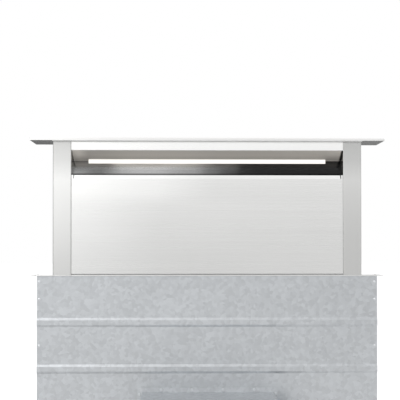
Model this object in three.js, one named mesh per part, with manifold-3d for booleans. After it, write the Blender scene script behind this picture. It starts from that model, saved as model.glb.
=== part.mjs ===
// A telescoping downdraft vent: a slim stainless chimney that two lead screws lift out of a
// housing behind the cooktop, with a blower, its box and the lift drive below the worktop.
// Millimetres, +Z up. The model is drawn about a datum on the chimney's front face at worktop
// level (x across, y towards the back, z up) with the chimney raised, and the finished group is
// then moved so that its origin lies on the cabinet floor, under the middle of the whole vent.
import * as THREE from "three";
import Module from "manifold-3d";
import { mergeVertices } from "three/addons/utils/BufferGeometryUtils.js";

const wasm = await Module();
wasm.setup();

// ---------------------------------------------------------------- driving dimensions
const SEAM = 0.3; // gap between faces that meet
const SHEET = 1.2; // folded sheet metal of the chimney and the housing
const BEND = 1.8; // outside radius of a fold
const TIGHT_BEND = 0.6; // inside radius of a fold that a piece sits in

const RISE = 356; // top of the cap above the worktop, raised
const STOWED_GAP = 1.5; // cap above the flange, lowered

const CAP_WIDTH = 914;
const CAP_DEPTH = 88;
const CAP_THICKNESS = 7;
const CAP_SHEET = 1.2;
const CAP_OVERHANG = 56.3; // cap beyond the chimney, each end

const CHIMNEY_DEPTH = 52;
const CHIMNEY_BELOW = 110; // chimney kept below the worktop when raised
const FOOT_HEM = 9; // fold along the lower edge of the skirt and of the rear panel
const REAR_HEM = 13; // fold along the rear panel's top
const POST_WIDTH = 47.7;
const POST_SHEET = 1.5;

const FASCIA_HEIGHT = 23; // plain strip under the cap
const FASCIA_HEM = 14; // fold along the fascia's top
const RECESS_DEPTH = 35; // how far the intake recess runs back
const CEILING_DROP = 23; // fall of the recess ceiling, front to back
const CEILING_UPSTAND = 16; // fold behind the ceiling's back edge
const BAFFLE_DROP = 41.7; // fall of the polished baffle, back to front
const BAFFLE_SETBACK = 14; // baffle foot behind the front face
const BAFFLE_SKIRT = 14.5; // upright foot of the baffle
const BAFFLE_SHELF = 16.6; // flange along the baffle's foot, over the filters
const BAFFLE_HEM = 9; // fold along the baffle's top
const SHEET_LAP = 0.8; // gap between the ceiling and the baffle's top
const LIP_HEIGHT = 9.3; // leaned-back lip along the front panel's top
const LIP_DEPTH = 4.8;
const LIP_END = 7; // lip stops this short of the post
const RELIEF = 1.5; // slit beside the lip

const LED_END_GAP = 40.7; // lamp stops this short of what fits between the posts
const LED_HEIGHT = 11.8;
const LED_ABOVE_APEX = 3.4; // top of the lamp above the back of the recess
const LED_FORWARD = 5.2; // lamp face in front of the back of the recess
const LED_CHANNEL_DEPTH = 11;
const LED_WALL = 1.2;
const DIFFUSER_FACE = 1.5;

const RAIL_UPSTAND = 11; // filter rail behind the filters
const RAIL_DROP = 15; // and down behind the skirt
const FILTER_THICKNESS = 9;
const FILTER_FRAME = 14;
const FLUTE_PITCH = 12;
const FLUTE_SHEET = 0.7;
const FLUTE_INSET = 1.6; // folds of the core inside the frame's faces
const TAB_REACH = 7; // finger tab in front of the filter
const TAB_WIDTH = 36;

const PANEL_GAP = 2; // seam between the skirt and the front panel
const SKIRT_TOP = 3;
const PANEL_FLANGE = 9;
const PIVOT_RADIUS = 2;
const PIVOT_LENGTH = 4;
const PIVOT_UP = 5; // pivot above the panel's lower edge
const PIVOT_BACK = 4.8;

const FLANGE_RIM = 16; // worktop flange beyond the housing, each end
const FLANGE_FRONT_RIM = 3; // and along its front and back
const FLANGE_THICKNESS = 1.5;
const FLANGE_REBATE = 0.3; // in its underside, for the housing's top edge
const WINDOW_MARGIN = 1.5; // flange window round the chimney
const SEAL_CLEARANCE = 0.5;
const SEAL_THICKNESS = 3;

const END_ROOM = 1.5; // housing beyond the gearhead, each end
const SUMP = 179; // housing below the lowered chimney
const HOUSING_CLEARANCE = 3.8; // inside of the housing round the chimney, front and back
const RETURN_WIDTH = 10;
const PAN_WALL = 15;
const SWAGE_DEPTH = 3; // pressed stiffening swages
const SWAGE_FLAT = 12;
const SWAGE_FLANK = 6;
const SWAGE_LEVELS = [-120, -240];

const SCREW_OFFSET = 19; // lead screw beyond the chimney
const SCREW_BACK = 18; // lead screw behind the front face
const SCREW_RADIUS = 6;
const JOURNAL_RADIUS = 5;
const TOP_JOURNAL_RADIUS = 4;
const THRUST_RADIUS = 9;
const RUNNING = 0.3; // radial clearance of what turns or slides
const OVERRUN = 28; // thread and rail beyond the end of the travel
const NUT_ABOVE_END = 26; // nut bracket's shelf above the chimney's lower end
const NUT_FLANGE_THICKNESS = 4;
const NUT_BODY_RADIUS = 11;
const NUT_RIM = 3; // flange beyond the body
const NUT_BODY_LENGTH = 20;
const BRACKET_PLATE = 2.5;
const BRACKET_RISE = 26; // bracket's plate above its shelf
const CROSSBAR_HEIGHT = 22;
const CROSSBAR_FLANGE = 10;
const BEARING_LEVEL = -28; // underside of the top bearing
const BEARING_HEIGHT = 14;
const BEARING_RADIUS = 10;
const BUSH_FLANGE = 4;
const BUSH_HEIGHT = 9;

const RAIL_OFFSET = 16; // guide rail beyond the chimney
const RAIL_WIDTH = 13;
const RAIL_DEPTH = 11.5;
const RAIL_SHEET = 1.5;
const RAIL_TOP = -12;
const SHOE_LENGTH = 88;
const SHOE_TOP = -20;
const SHOE_GAP = 3; // shoe behind the nut bracket
const PAD_LENGTH = 28; // each of the shoe's two pads

const PULLEY_DROP = 13; // pulleys below the housing's floor
const PULLEY_RADIUS = 13.7;
const PULLEY_FLANGE_RADIUS = 16;
const PULLEY_FLANGE = 2;
const HUB_RADIUS = 9;
const HUB_LENGTH = 7;
const BELT_WIDTH = 11;
const BELT_THICKNESS = 1.6;
const BELT_PLAY = 0.5; // belt between the pulley's flanges

const STUB_RADIUS = 3;
const STUB_LENGTH = 16;
const GEARHEAD_RADIUS = 18.5;
const GEARHEAD_LENGTH = 28;
const LIFT_MOTOR_RADIUS = 17.2;
const LIFT_MOTOR_LENGTH = 54;
const LIFT_BRACKET_SHEET = 2;
const LIFT_BRACKET_GAP = 2.5;
const LIFT_BRACKET_EAR = 12; // ears that are screwed to the housing's floor
const SHELF_DROP = 27; // gearmotor's shelf below the pulley

const FAN_RADIUS = 80;
const FAN_INNER_RADIUS = 66;
const FAN_WIDTH = 88;
const FAN_BLADES = 24;
const FAN_DISC = 2;
const FAN_RING = 4;
const BLADE_THICKNESS = 1;
const FAN_SHAFT_RADIUS = 4;
const FAN_HUB_RADIUS = 14;
const FAN_HUB_LENGTH = 24;
const SHAFT_BEHIND = 34;
const FAN_BACK_GAP = 4; // wheel in front of the scroll's front plate
const INLET_LAP = 2; // scroll's inlet inside the wheel's ring
const SCROLL_DEPTH = 110;
const SCROLL_CLEARANCE = 8; // cut-off beyond the wheel
const SCROLL_GROWTH = 62;
const SCROLL_GAP = 42; // scroll in front of the housing
const SCROLL_FOOT = 19; // feet under the scroll
const SCROLL_FOOT_LENGTH = 120;
const SCROLL_FOOT_FLANGE = 14;
const SCROLL_SIDE = 11.5; // room left of the scroll
const SCROLL_HEADROOM = 43.8; // room above it
const OUTLET_RUN = 195; // fan's axis to the blower box's right-hand face
const FAN_SHIFT = -25; // fan's axis from the middle
const MOTOR_RADIUS = 46;
const MOTOR_LENGTH = 36;
const MOTOR_FLANGE = 3;
const MOTOR_ROOM = 6; // behind the motor, inside the cover
const MOTOR_RIBS = 3;

const BOX_ABOVE_FLOOR = 5; // blower box above the housing's floor
const BOX_FLANGE = 12;
const BOX_WINDOW_INSET = 19; // housing's fan window inside the box
const COVER_SKIRT = 14;

const DUCT_RADIUS = 75; // inside of the round outlet
const COLLAR_LENGTH = 45;
const COLLAR_MARGIN = 8; // square plate beyond the collar
const FLAP_INSIDE = 20; // damper spindle beyond the blower box
const FLAP_THICKNESS = 1;
const FLAP_CLEARANCE = 1.5;
const SPINDLE_RADIUS = 1.5;
const KNUCKLE_RADIUS = 3.2;
const KNUCKLE_LENGTH = 58;

const CONTROL_WIDTH = 180;
const CONTROL_HEIGHT = 130;
const CONTROL_DEPTH = 46;
const CONTROL_GAP = 43; // between it and the blower box
const CONTROL_ABOVE_FLOOR = 25;
const LID_SKIRT = 12;
const GLAND_RADIUS = 12.5;
const GLAND_GAP = 2; // between it and the lid's skirt
const GLAND_LENGTH = 22;
const GLAND_INSET = 30; // gland from the control box's left-hand side

const LEG_SHEET = 2;
const LEG_WIDTH = 52;
const LEG_LAP = 165; // leg along the housing's side
const LEG_SLOT = 60;
const LEG_SLOT_WIDTH = 9;
const LEG_SLOT_DROPS = [50, 130]; // slots' middles below the upright's top
const FOOT_WIDTH = 30;
const FOOT_REACH = 165; // foot in front of the chimney
const FOOT_FLANGE = 22;
const GUSSET_RUN = 40; // slope from the upright to the foot's flange, in front
const GUSSET_RISE = 30;
const HEEL_RISE = 20; // and behind
const PAD_THICKNESS = 11;
const FLOOR_ROOM = 11.4; // gearmotor above the foot

const BUTTON_RADIUS = 7;
const BUTTON_PITCH = 24;
const BUTTON_END = 85; // last button's middle from the cap's right-hand end
const BUTTON_PROUD = 0.8;
const BUTTON_FLANGE = 2;
const BUTTON_PRESS = 0.8; // stroke of a button
const BOARD_THICKNESS = 1;
const DOME_HEIGHT = 0.6;

// ---------------------------------------------------------------- levels and faces
const capUnder = RISE - CAP_THICKNESS;
const travel = capUnder - FLANGE_THICKNESS - STOWED_GAP;
const chimneyTop = capUnder - SEAM;
const chimneyBottom = -CHIMNEY_BELOW;
const postOuter = CAP_WIDTH / 2 - CAP_OVERHANG;
const postInner = postOuter - POST_WIDTH;
const bayHalf = postInner - SEAM; // half the width of what fits between the posts
const capFront = (CHIMNEY_DEPTH - CAP_DEPTH) / 2;
const capBack = capFront + CAP_DEPTH;

const fasciaBottom = capUnder - FASCIA_HEIGHT;
const apexLevel = fasciaBottom - CEILING_DROP;
const lipTop = apexLevel - BAFFLE_DROP;
const panelFaceTop = lipTop - LIP_HEIGHT;
const panelBottom = SKIRT_TOP + PANEL_GAP;
const pivotZ = panelBottom + PIVOT_UP;
const baffleFoot = lipTop - BAFFLE_SKIRT;
const filterBack = BAFFLE_SETBACK + BAFFLE_SHELF;
const filterFront = filterBack - FILTER_THICKNESS;

const screwX = postOuter + SCREW_OFFSET;
const housingHalf = screwX + GEARHEAD_RADIUS + END_ROOM;
const sideInner = housingHalf - SHEET;
const housingFront = -HOUSING_CLEARANCE - SHEET; // outer faces
const housingBack = CHIMNEY_DEPTH + HOUSING_CLEARANCE + SHEET;
const housingTop = FLANGE_REBATE - SEAM;
const housingBottom = chimneyBottom - travel - SUMP;

const railX = postOuter + RAIL_OFFSET;
const nutLevel = chimneyBottom + NUT_ABOVE_END;
const nutFlangeRadius = NUT_BODY_RADIUS + NUT_RIM;
const pulleyTop = housingBottom - PULLEY_DROP;
const beltTop = pulleyTop - PULLEY_FLANGE - BELT_PLAY;
const beltBottom = beltTop - BELT_WIDTH;
const pulleyBottom = beltBottom - BELT_PLAY - PULLEY_FLANGE;
const liftShelf = pulleyBottom - SHELF_DROP;
const gearheadTop = liftShelf - LIFT_BRACKET_SHEET - SEAM;
const liftMotorBottom = gearheadTop - GEARHEAD_LENGTH - LIFT_MOTOR_LENGTH;
const footBottom = liftMotorBottom - FLOOR_ROOM - LEG_SHEET;
const padTop = footBottom - SEAM;
const floorLevel = padTop - PAD_THICKNESS;

// The scroll's radius grows from its cut-off, clockwise, over seven eighths of a turn.
const SCROLL_TURN = 1.75 * Math.PI;
const cutoffAngle = Math.PI / 4;
const cutoffRadius = FAN_RADIUS + SCROLL_CLEARANCE;
const scrollRadius = (angle) =>
  cutoffRadius + (SCROLL_GROWTH * (cutoffAngle - angle)) / SCROLL_TURN;
const blowerBottom = housingBottom + BOX_ABOVE_FLOOR;
const fanX = FAN_SHIFT;
const fanZ = blowerBottom + SHEET + SEAM + SCROLL_FOOT + scrollRadius(-Math.PI / 2);
const blowerTop = fanZ + scrollRadius(-1.5 * Math.PI) + SCROLL_HEADROOM + SHEET;
const blowerLeft = fanX - scrollRadius(-Math.PI) - SCROLL_SIDE - SHEET;
const blowerRight = fanX + OUTLET_RUN;
const scrollBack = housingFront - SCROLL_GAP;
const scrollFront = scrollBack - SCROLL_DEPTH;
const fanBack = scrollFront + SHEET + FAN_BACK_GAP;
const blowerBack = housingFront - SEAM;
const ductY = (scrollBack + scrollFront) / 2;
const collarFront = ductY - DUCT_RADIUS - COLLAR_MARGIN;
// The box is deep enough for the motor, and its cover's skirt ends in front of the collar's plate.
const motorFront = scrollFront - SEAM - MOTOR_LENGTH;
const blowerFront = Math.min(motorFront - MOTOR_ROOM, collarFront - COVER_SKIRT + SHEET);
const coverFront = blowerFront - SEAM - SHEET;

// ---------------------------------------------------------------- shape helpers
const v2 = ([a, b]) => new THREE.Vector2(a, b);

// Points along a rounded corner between two sides.
function corner(from, at, to, radius, steps) {
  const before = v2(from).sub(v2(at));
  const after = v2(to).sub(v2(at));
  const half = Math.abs(before.angleTo(after)) / 2;
  const reach = Math.min(radius / Math.tan(half), before.length() / 2, after.length() / 2);
  const a = before.setLength(reach).add(v2(at));
  const b = after.setLength(reach).add(v2(at));
  const curve = new THREE.QuadraticBezierCurve(a, v2(at), b);
  return curve.getPoints(steps).map((p) => [p.x, p.y]);
}

// Rounds the corners of an open line, leaving its ends, or of a closed outline.
const roundedLine = (line, radius, steps = 3) =>
  line.flatMap((at, i) =>
    i && i < line.length - 1 ? corner(line[i - 1], at, line[i + 1], radius, steps) : [at],
  );
const roundedLoop = (loop, radius, steps = 3) =>
  loop.flatMap((at, i) =>
    corner(loop.at(i - 1), at, loop[(i + 1) % loop.length], radius, steps),
  );

// The line moved sideways by a distance, with mitred corners: positive is to its left.
function offset(line, distance) {
  return line.map((point, i) => {
    const here = v2(point);
    const into = i > 0 ? here.clone().sub(v2(line[i - 1])).normalize() : null;
    const out = i < line.length - 1 ? v2(line[i + 1]).sub(here).normalize() : null;
    const a = into ?? out;
    const b = out ?? into;
    const normal = new THREE.Vector2(-a.y - b.y, a.x + b.x).normalize();
    const stretch = distance / (normal.x * -a.y + normal.y * a.x);
    return [point[0] + normal.x * stretch, point[1] + normal.y * stretch];
  });
}

// Closed outline of a folded sheet whose outer face follows the points; it is thick to the left.
function folded(points, thickness, bend = BEND) {
  const face = roundedLine(points, bend);
  return face.concat(offset(face, thickness).reverse());
}

function rectangle(x0, y0, x1, y1, radius = 0, steps = 3) {
  const corners = [[x0, y0], [x1, y0], [x1, y1], [x0, y1]];
  return radius ? roundedLoop(corners, radius, steps) : corners;
}

function circle(x, y, radius, steps = 28) {
  return Array.from({ length: steps }, (_, i) => {
    const turn = (2 * Math.PI * i) / steps;
    return [x + radius * Math.cos(turn), y + radius * Math.sin(turn)];
  });
}

function slot(x, y, length, width, steps = 6) {
  const ends = [[1, -Math.PI / 2], [-1, Math.PI / 2]];
  return ends.flatMap(([side, start]) =>
    Array.from({ length: steps + 1 }, (_, i) => {
      const turn = start + (Math.PI * i) / steps;
      const along = (side * (length - width)) / 2 + (width / 2) * Math.cos(turn);
      return [x + (width / 2) * Math.sin(turn), y + along];
    }),
  );
}

// A straight bar of the outline's section, with each hole cut right through it.
function extrude(outline, holes, depth) {
  const bar = (points, length) =>
    new THREE.ExtrudeGeometry(new THREE.Shape(points.map(v2)), {
      depth: length,
      bevelEnabled: false,
    });
  const body = bar(outline, depth);
  return holes.length ? cut(body, ...holes.map((hole) => bar(hole, depth + 2).translate(0, 0, -1))) : body;
}

// Extrusions along each axis. Outlines are (y, z), (x, z) and (x, y) in turn.
const basis = (x, y, z, position) =>
  new THREE.Matrix4().makeBasis(x, y, z).setPosition(position);
const X = new THREE.Vector3(1, 0, 0);
const Y = new THREE.Vector3(0, 1, 0);
const Z = new THREE.Vector3(0, 0, 1);
const alongX = (outline, x0, x1, holes = []) =>
  extrude(outline, holes, x1 - x0).applyMatrix4(basis(Y, Z, X, new THREE.Vector3(x0, 0, 0)));
const alongY = (outline, y0, y1, holes = []) =>
  extrude(outline, holes, y1 - y0).applyMatrix4(
    basis(X, Z, Y.clone().negate(), new THREE.Vector3(0, y1, 0)),
  );
const alongZ = (outline, z0, z1, holes = []) =>
  extrude(outline, holes, z1 - z0).translate(0, 0, z0);
const block = (x0, y0, z0, x1, y1, z1) => alongZ(rectangle(x0, y0, x1, y1), z0, z1);

// A turned piece on a vertical axis at (x, y); its profile is (radius, z).
function turned(profile, x, y, steps = 20) {
  return new THREE.LatheGeometry(profile.map(v2), steps).rotateX(Math.PI / 2).translate(x, y, 0);
}

// Geometry to a manifold solid, turned to face outwards, and back.
function solid(geometry) {
  const bare = geometry.clone();
  bare.deleteAttribute("normal");
  bare.deleteAttribute("uv");
  const merged = mergeVertices(bare, 1e-4);
  const make = (triVerts) =>
    new wasm.Manifold(
      new wasm.Mesh({ numProp: 3, vertProperties: merged.attributes.position.array, triVerts }),
    );
  const index = new Uint32Array(merged.index.array);
  const made = make(index);
  return made.volume() < 0 ? make(index.reverse()) : made;
}

function geometryOf(manifold) {
  const { vertProperties, triVerts } = manifold.getMesh();
  const geometry = new THREE.BufferGeometry();
  geometry.setAttribute("position", new THREE.BufferAttribute(vertProperties, 3));
  geometry.setIndex(new THREE.BufferAttribute(triVerts, 1));
  const flat = geometry.toNonIndexed();
  flat.computeVertexNormals();
  return flat;
}

// The same piece on the other side of the middle.
const mirrored = (geometry) => geometry.clone().scale(-1, 1, 1);
const joined = (...pieces) => geometryOf(pieces.map(solid).reduce((a, b) => a.add(b)));
const cut = (piece, ...tools) =>
  geometryOf(tools.map(solid).reduce((a, b) => a.subtract(b), solid(piece)));

// ---------------------------------------------------------------- materials
const steel = (color, roughness) =>
  new THREE.MeshStandardMaterial({ color, roughness, metalness: 1 });
const plastic = (color, roughness) =>
  new THREE.MeshStandardMaterial({ color, roughness, metalness: 0 });
const stainless = steel(0xdcdcda, 0.3);
const polished = steel(0x9a9a9a, 0.08);
const galvanised = steel(0xb4b8ba, 0.45);
const aluminium = steel(0xc4c6c8, 0.4);
const brightSteel = steel(0xc8c8c8, 0.25);
const blackPlastic = plastic(0x1c1c1e, 0.5);
const whiteNylon = plastic(0xe8e6de, 0.45);
const rubber = plastic(0x202022, 0.8);
const circuitBoard = plastic(0x1f5c3a, 0.5);
const opal = new THREE.MeshStandardMaterial({
  color: 0xffffff,
  roughness: 0.4,
  emissive: 0xfff4e2,
});

const vent = new THREE.Group();

function add(name, geometry, material) {
  const mesh = new THREE.Mesh(geometry, material);
  mesh.name = name;
  vent.add(mesh);
  return mesh;
}

// A piece drawn for the right-hand side, and its mirror image on the left.
function addPair(name, geometry, material) {
  add(`right_${name}`, geometry, material);
  add(`left_${name}`, geometry, material).scale.x = -1;
}

// ---------------------------------------------------------------- cap and its buttons
const buttonNames = ["power", "slower", "faster", "light"];
const lastButtonX = CAP_WIDTH / 2 - BUTTON_END;
const buttonXs = buttonNames.map((_, i) => lastButtonX - (buttonNames.length - 1 - i) * BUTTON_PITCH);
const buttonY = CHIMNEY_DEPTH / 2;
const boardBottom = capUnder + CAP_SHEET + SEAM;
const boardTop = boardBottom + BOARD_THICKNESS;
const domeTop = boardTop + DOME_HEIGHT;

function capShell() {
  const skin = rectangle(-CAP_WIDTH / 2, capFront, CAP_WIDTH / 2, capBack, 1.5);
  const inside = rectangle(
    -CAP_WIDTH / 2 + CAP_SHEET,
    capFront + CAP_SHEET,
    CAP_WIDTH / 2 - CAP_SHEET,
    capBack - CAP_SHEET,
  );
  const holes = buttonXs.map((x) => circle(x, buttonY, BUTTON_RADIUS + RUNNING, 24));
  return joined(
    alongZ(skin, capUnder, RISE - CAP_SHEET, [inside]),
    alongZ(skin, RISE - CAP_SHEET, RISE, holes),
  );
}

function capUnderplate() {
  const margin = CAP_SHEET + SEAM;
  const outline = rectangle(
    -CAP_WIDTH / 2 + margin,
    capFront + margin,
    CAP_WIDTH / 2 - margin,
    capBack - margin,
  );
  return alongZ(outline, capUnder, capUnder + CAP_SHEET);
}

// The key board carries a domed switch under each button.
function controlBoard() {
  const first = buttonXs[0] - BUTTON_PITCH / 2;
  const last = lastButtonX + BUTTON_PITCH / 2;
  const half = BUTTON_RADIUS + BUTTON_FLANGE + 4;
  const outline = rectangle(first, buttonY - half, last, buttonY + half, 2);
  const plate = alongZ(outline, boardBottom, boardTop);
  const sunk = boardTop - BOARD_THICKNESS / 2;
  const dome = [[0, sunk], [4, sunk], [3.4, domeTop], [0, domeTop]];
  const domes = buttonXs.map((x) => turned(dome, x, buttonY, 12));
  return joined(plate, ...domes);
}

// Each button is held under the cap by its flange and stands a little proud of the cap.
function button(x) {
  const flangeTop = RISE - CAP_SHEET - SEAM;
  const flangeBottom = domeTop + SEAM + BUTTON_PRESS;
  const top = RISE + BUTTON_PROUD;
  const profile = [
    [0, flangeBottom],
    [BUTTON_RADIUS + BUTTON_FLANGE, flangeBottom],
    [BUTTON_RADIUS + BUTTON_FLANGE, flangeTop],
    [BUTTON_RADIUS, flangeTop],
    [BUTTON_RADIUS, top - 0.4],
    [BUTTON_RADIUS - 0.6, top],
    [0, top - 0.25],
  ];
  return turned(profile, x, buttonY, 20);
}

add("cap_shell", capShell(), stainless);
add("cap_underplate", capUnderplate(), stainless);
add("control_board", controlBoard(), circuitBoard);
buttonNames.forEach((name, i) => add(`${name}_button`, button(buttonXs[i]), stainless));

// ---------------------------------------------------------------- chimney
// A post is a square tube; a pin on its inner face carries the front panel.
function post() {
  const tube = alongZ(
    rectangle(postInner, 0, postOuter, CHIMNEY_DEPTH, BEND),
    chimneyBottom,
    chimneyTop,
    [
      rectangle(
        postInner + POST_SHEET,
        POST_SHEET,
        postOuter - POST_SHEET,
        CHIMNEY_DEPTH - POST_SHEET,
      ),
    ],
  );
  const pin = alongX(
    circle(PIVOT_BACK, pivotZ, PIVOT_RADIUS, 16),
    postInner - PIVOT_LENGTH,
    postInner + POST_SHEET / 2,
  );
  return joined(tube, pin);
}

// The lamp sits in a notch that runs across the back of the recess.
const ledTop = apexLevel + LED_ABOVE_APEX;
const ledBottom = ledTop - LED_HEIGHT;
const ledFace = RECESS_DEPTH - LED_FORWARD;
const ledHalf = bayHalf - LED_END_GAP;
const ledNotch = block(
  -ledHalf - SEAM,
  ledFace - 4,
  ledBottom - SEAM,
  ledHalf + SEAM,
  RECESS_DEPTH + LED_CHANNEL_DEPTH,
  ledTop + SEAM,
);

// Front strip and recess ceiling, folded from one sheet.
function intakeFascia() {
  const face = [
    [FASCIA_HEM, chimneyTop],
    [0, chimneyTop],
    [0, fasciaBottom],
    [RECESS_DEPTH, apexLevel],
    [RECESS_DEPTH, apexLevel + CEILING_UPSTAND],
  ];
  return cut(alongX(folded(face, SHEET, 1.5), -bayHalf, bayHalf), ledNotch);
}

// Polished sheet from the back of the recess down behind the front panel's lip.
function airBaffle() {
  const top = apexLevel - SHEET_LAP;
  const face = [
    [RECESS_DEPTH + BAFFLE_HEM, top],
    [RECESS_DEPTH - SEAM, top],
    [BAFFLE_SETBACK, lipTop],
    [BAFFLE_SETBACK, baffleFoot],
    [filterBack, baffleFoot],
  ];
  return cut(alongX(folded(face, SHEET, 1.5), -bayHalf, bayHalf), ledNotch);
}

function ledChannel() {
  const front = ledFace + DIFFUSER_FACE + SEAM;
  const back = front + LED_CHANNEL_DEPTH;
  const face = [[front, ledTop], [back, ledTop], [back, ledBottom], [front, ledBottom]];
  const outline = face.concat(offset(face, -LED_WALL).reverse());
  return alongX(outline, -ledHalf, ledHalf);
}

// Opal strip: a full-height face, and a tongue that clips into the channel.
function ledDiffuser() {
  const back = ledFace + DIFFUSER_FACE;
  const tongue = LED_WALL + SEAM;
  const outline = [
    [ledFace, ledBottom],
    [back, ledBottom],
    [back, ledBottom + tongue],
    [back + 3, ledBottom + tongue],
    [back + 3, ledTop - tongue],
    [back, ledTop - tongue],
    [back, ledTop],
    [ledFace, ledTop],
  ];
  return alongX(outline, -ledHalf, ledHalf);
}

function rearPanel() {
  const face = [
    [CHIMNEY_DEPTH - FOOT_HEM, chimneyBottom],
    [CHIMNEY_DEPTH, chimneyBottom],
    [CHIMNEY_DEPTH, chimneyTop],
    [CHIMNEY_DEPTH - REAR_HEM, chimneyTop],
  ];
  return alongX(folded(face, SHEET), -bayHalf, bayHalf);
}

function frontSkirt() {
  const face = [[0, SKIRT_TOP], [0, chimneyBottom], [FOOT_HEM, chimneyBottom]];
  return alongX(folded(face, SHEET), -bayHalf, bayHalf);
}

// Shelf that the filters stand on, behind the skirt's top edge.
const shelfTop = SKIRT_TOP - SEAM;
function filterRail() {
  const front = SHEET + SEAM;
  const face = [
    [filterBack + SEAM, shelfTop + RAIL_UPSTAND],
    [filterBack + SEAM, shelfTop],
    [front, shelfTop],
    [front, shelfTop - RAIL_DROP],
  ];
  return alongX(folded(face, SHEET, TIGHT_BEND), -bayHalf, bayHalf);
}

// A washable filter: a frame round a fluted core, with a finger tab on its front.
function filterCassette() {
  const inner = SEAM;
  const outer = bayHalf;
  const bottom = shelfTop + SEAM;
  const top = baffleFoot - SEAM;
  const opening = rectangle(
    inner + FILTER_FRAME,
    bottom + FILTER_FRAME,
    outer - FILTER_FRAME,
    top - FILTER_FRAME,
  );
  const frame = alongY(rectangle(inner, bottom, outer, top, 3), filterFront, filterBack, [opening]);
  const lap = 2;
  const start = inner + FILTER_FRAME - lap;
  const coreWidth = outer - inner - 2 * (FILTER_FRAME - lap);
  const flutes = Math.round(coreWidth / FLUTE_PITCH);
  const zigzag = Array.from({ length: 2 * flutes + 1 }, (_, i) => [
    start + (i * coreWidth) / (2 * flutes),
    i % 2 ? filterBack - FLUTE_INSET : filterFront + FLUTE_INSET,
  ]);
  const core = zigzag.concat(offset(zigzag, FLUTE_SHEET).reverse());
  const sheet = alongZ(core, bottom + FILTER_FRAME - lap, top - FILTER_FRAME + lap);
  const middle = (inner + outer) / 2;
  const tip = filterFront - TAB_REACH;
  const tabProfile = [
    [filterFront + 1, top - 2],
    [tip, top - 4],
    [tip, top - 5.2],
    [filterFront + 1, top - 11],
  ];
  const tab = alongX(tabProfile, middle - TAB_WIDTH / 2, middle + TAB_WIDTH / 2);
  return joined(frame, sheet, tab);
}

function carriageCrossbar() {
  const back = CHIMNEY_DEPTH - SHEET - SEAM;
  const front = back - CROSSBAR_FLANGE;
  const bottom = chimneyBottom + SHEET + SEAM;
  const top = bottom + CROSSBAR_HEIGHT;
  const face = [[front, bottom], [back, bottom], [back, top], [front, top]];
  return alongX(folded(face, POST_SHEET), -bayHalf, bayHalf);
}

addPair("post", post(), stainless);
add("intake_fascia", intakeFascia(), stainless);
add("air_baffle", airBaffle(), polished);
add("led_channel", ledChannel(), aluminium);
add("led_diffuser", ledDiffuser(), opal);
add("rear_panel", rearPanel(), stainless);
add("front_skirt", frontSkirt(), stainless);
add("filter_rail", filterRail(), stainless);
addPair("filter", filterCassette(), aluminium);
add("carriage_crossbar", carriageCrossbar(), galvanised);

// ---------------------------------------------------------------- front panel
// The panel tilts forward on the posts' pins, so that the filters can be lifted out.
function frontPanel() {
  const half = bayHalf - SEAM;
  const lipEnd = postInner - LIP_END;
  const body = alongX(rectangle(0, panelBottom, SHEET, panelFaceTop), -half, half);
  const lipFace = [[0, panelFaceTop - 1], [0, panelFaceTop], [LIP_DEPTH, lipTop]];
  const lip = alongX(lipFace.concat(offset(lipFace, -SHEET).reverse()), -lipEnd, lipEnd);
  const foot = block(-half, SHEET / 2, panelBottom, half, PANEL_FLANGE, panelBottom + SHEET);
  const tab = block(lipEnd + RELIEF, 0, panelFaceTop - 1, half, SHEET, lipTop);
  const side = block(half - SHEET, SHEET / 2, panelBottom, half, PANEL_FLANGE, lipTop);
  const holes = alongX(circle(PIVOT_BACK, pivotZ, PIVOT_RADIUS + RUNNING, 16), -half - 1, half + 1);
  return cut(joined(body, lip, foot, tab, side, mirrored(tab), mirrored(side)), holes);
}

add("front_panel", frontPanel(), stainless);

// ---------------------------------------------------------------- lift carriage
// Bracket on the post's outer face, with a shelf that holds the lift nut.
function nutBracket() {
  const inner = postOuter + SEAM;
  const outer = screwX + nutFlangeRadius;
  const front = SCREW_BACK - nutFlangeRadius;
  const back = SCREW_BACK + nutFlangeRadius;
  const under = nutLevel - BRACKET_PLATE;
  const plate = block(inner, front, chimneyBottom + 2, inner + BRACKET_PLATE, back, nutLevel + BRACKET_RISE);
  const shelf = block(inner, front, under, outer, back, nutLevel);
  const rib = [[inner, under + 1], [outer - 4, under + 1], [inner, chimneyBottom + 4]];
  const hole = circle(screwX, SCREW_BACK, NUT_BODY_RADIUS + SEAM, 24);
  return cut(
    joined(plate, shelf, alongY(rib, front, front + 2), alongY(rib, back - 2, back)),
    alongZ(hole, under - 1, nutLevel + 1),
  );
}

function liftNut() {
  const seat = nutLevel + SEAM;
  const bore = SCREW_RADIUS + RUNNING;
  const bottom = seat - NUT_BODY_LENGTH;
  const top = seat + NUT_FLANGE_THICKNESS;
  const profile = [
    [bore, bottom],
    [NUT_BODY_RADIUS, bottom],
    [NUT_BODY_RADIUS, seat],
    [nutFlangeRadius, seat],
    [nutFlangeRadius, top - 0.8],
    [nutFlangeRadius - 0.8, top],
    [bore, top],
    [bore, bottom],
  ];
  return turned(profile, screwX, SCREW_BACK);
}

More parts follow.
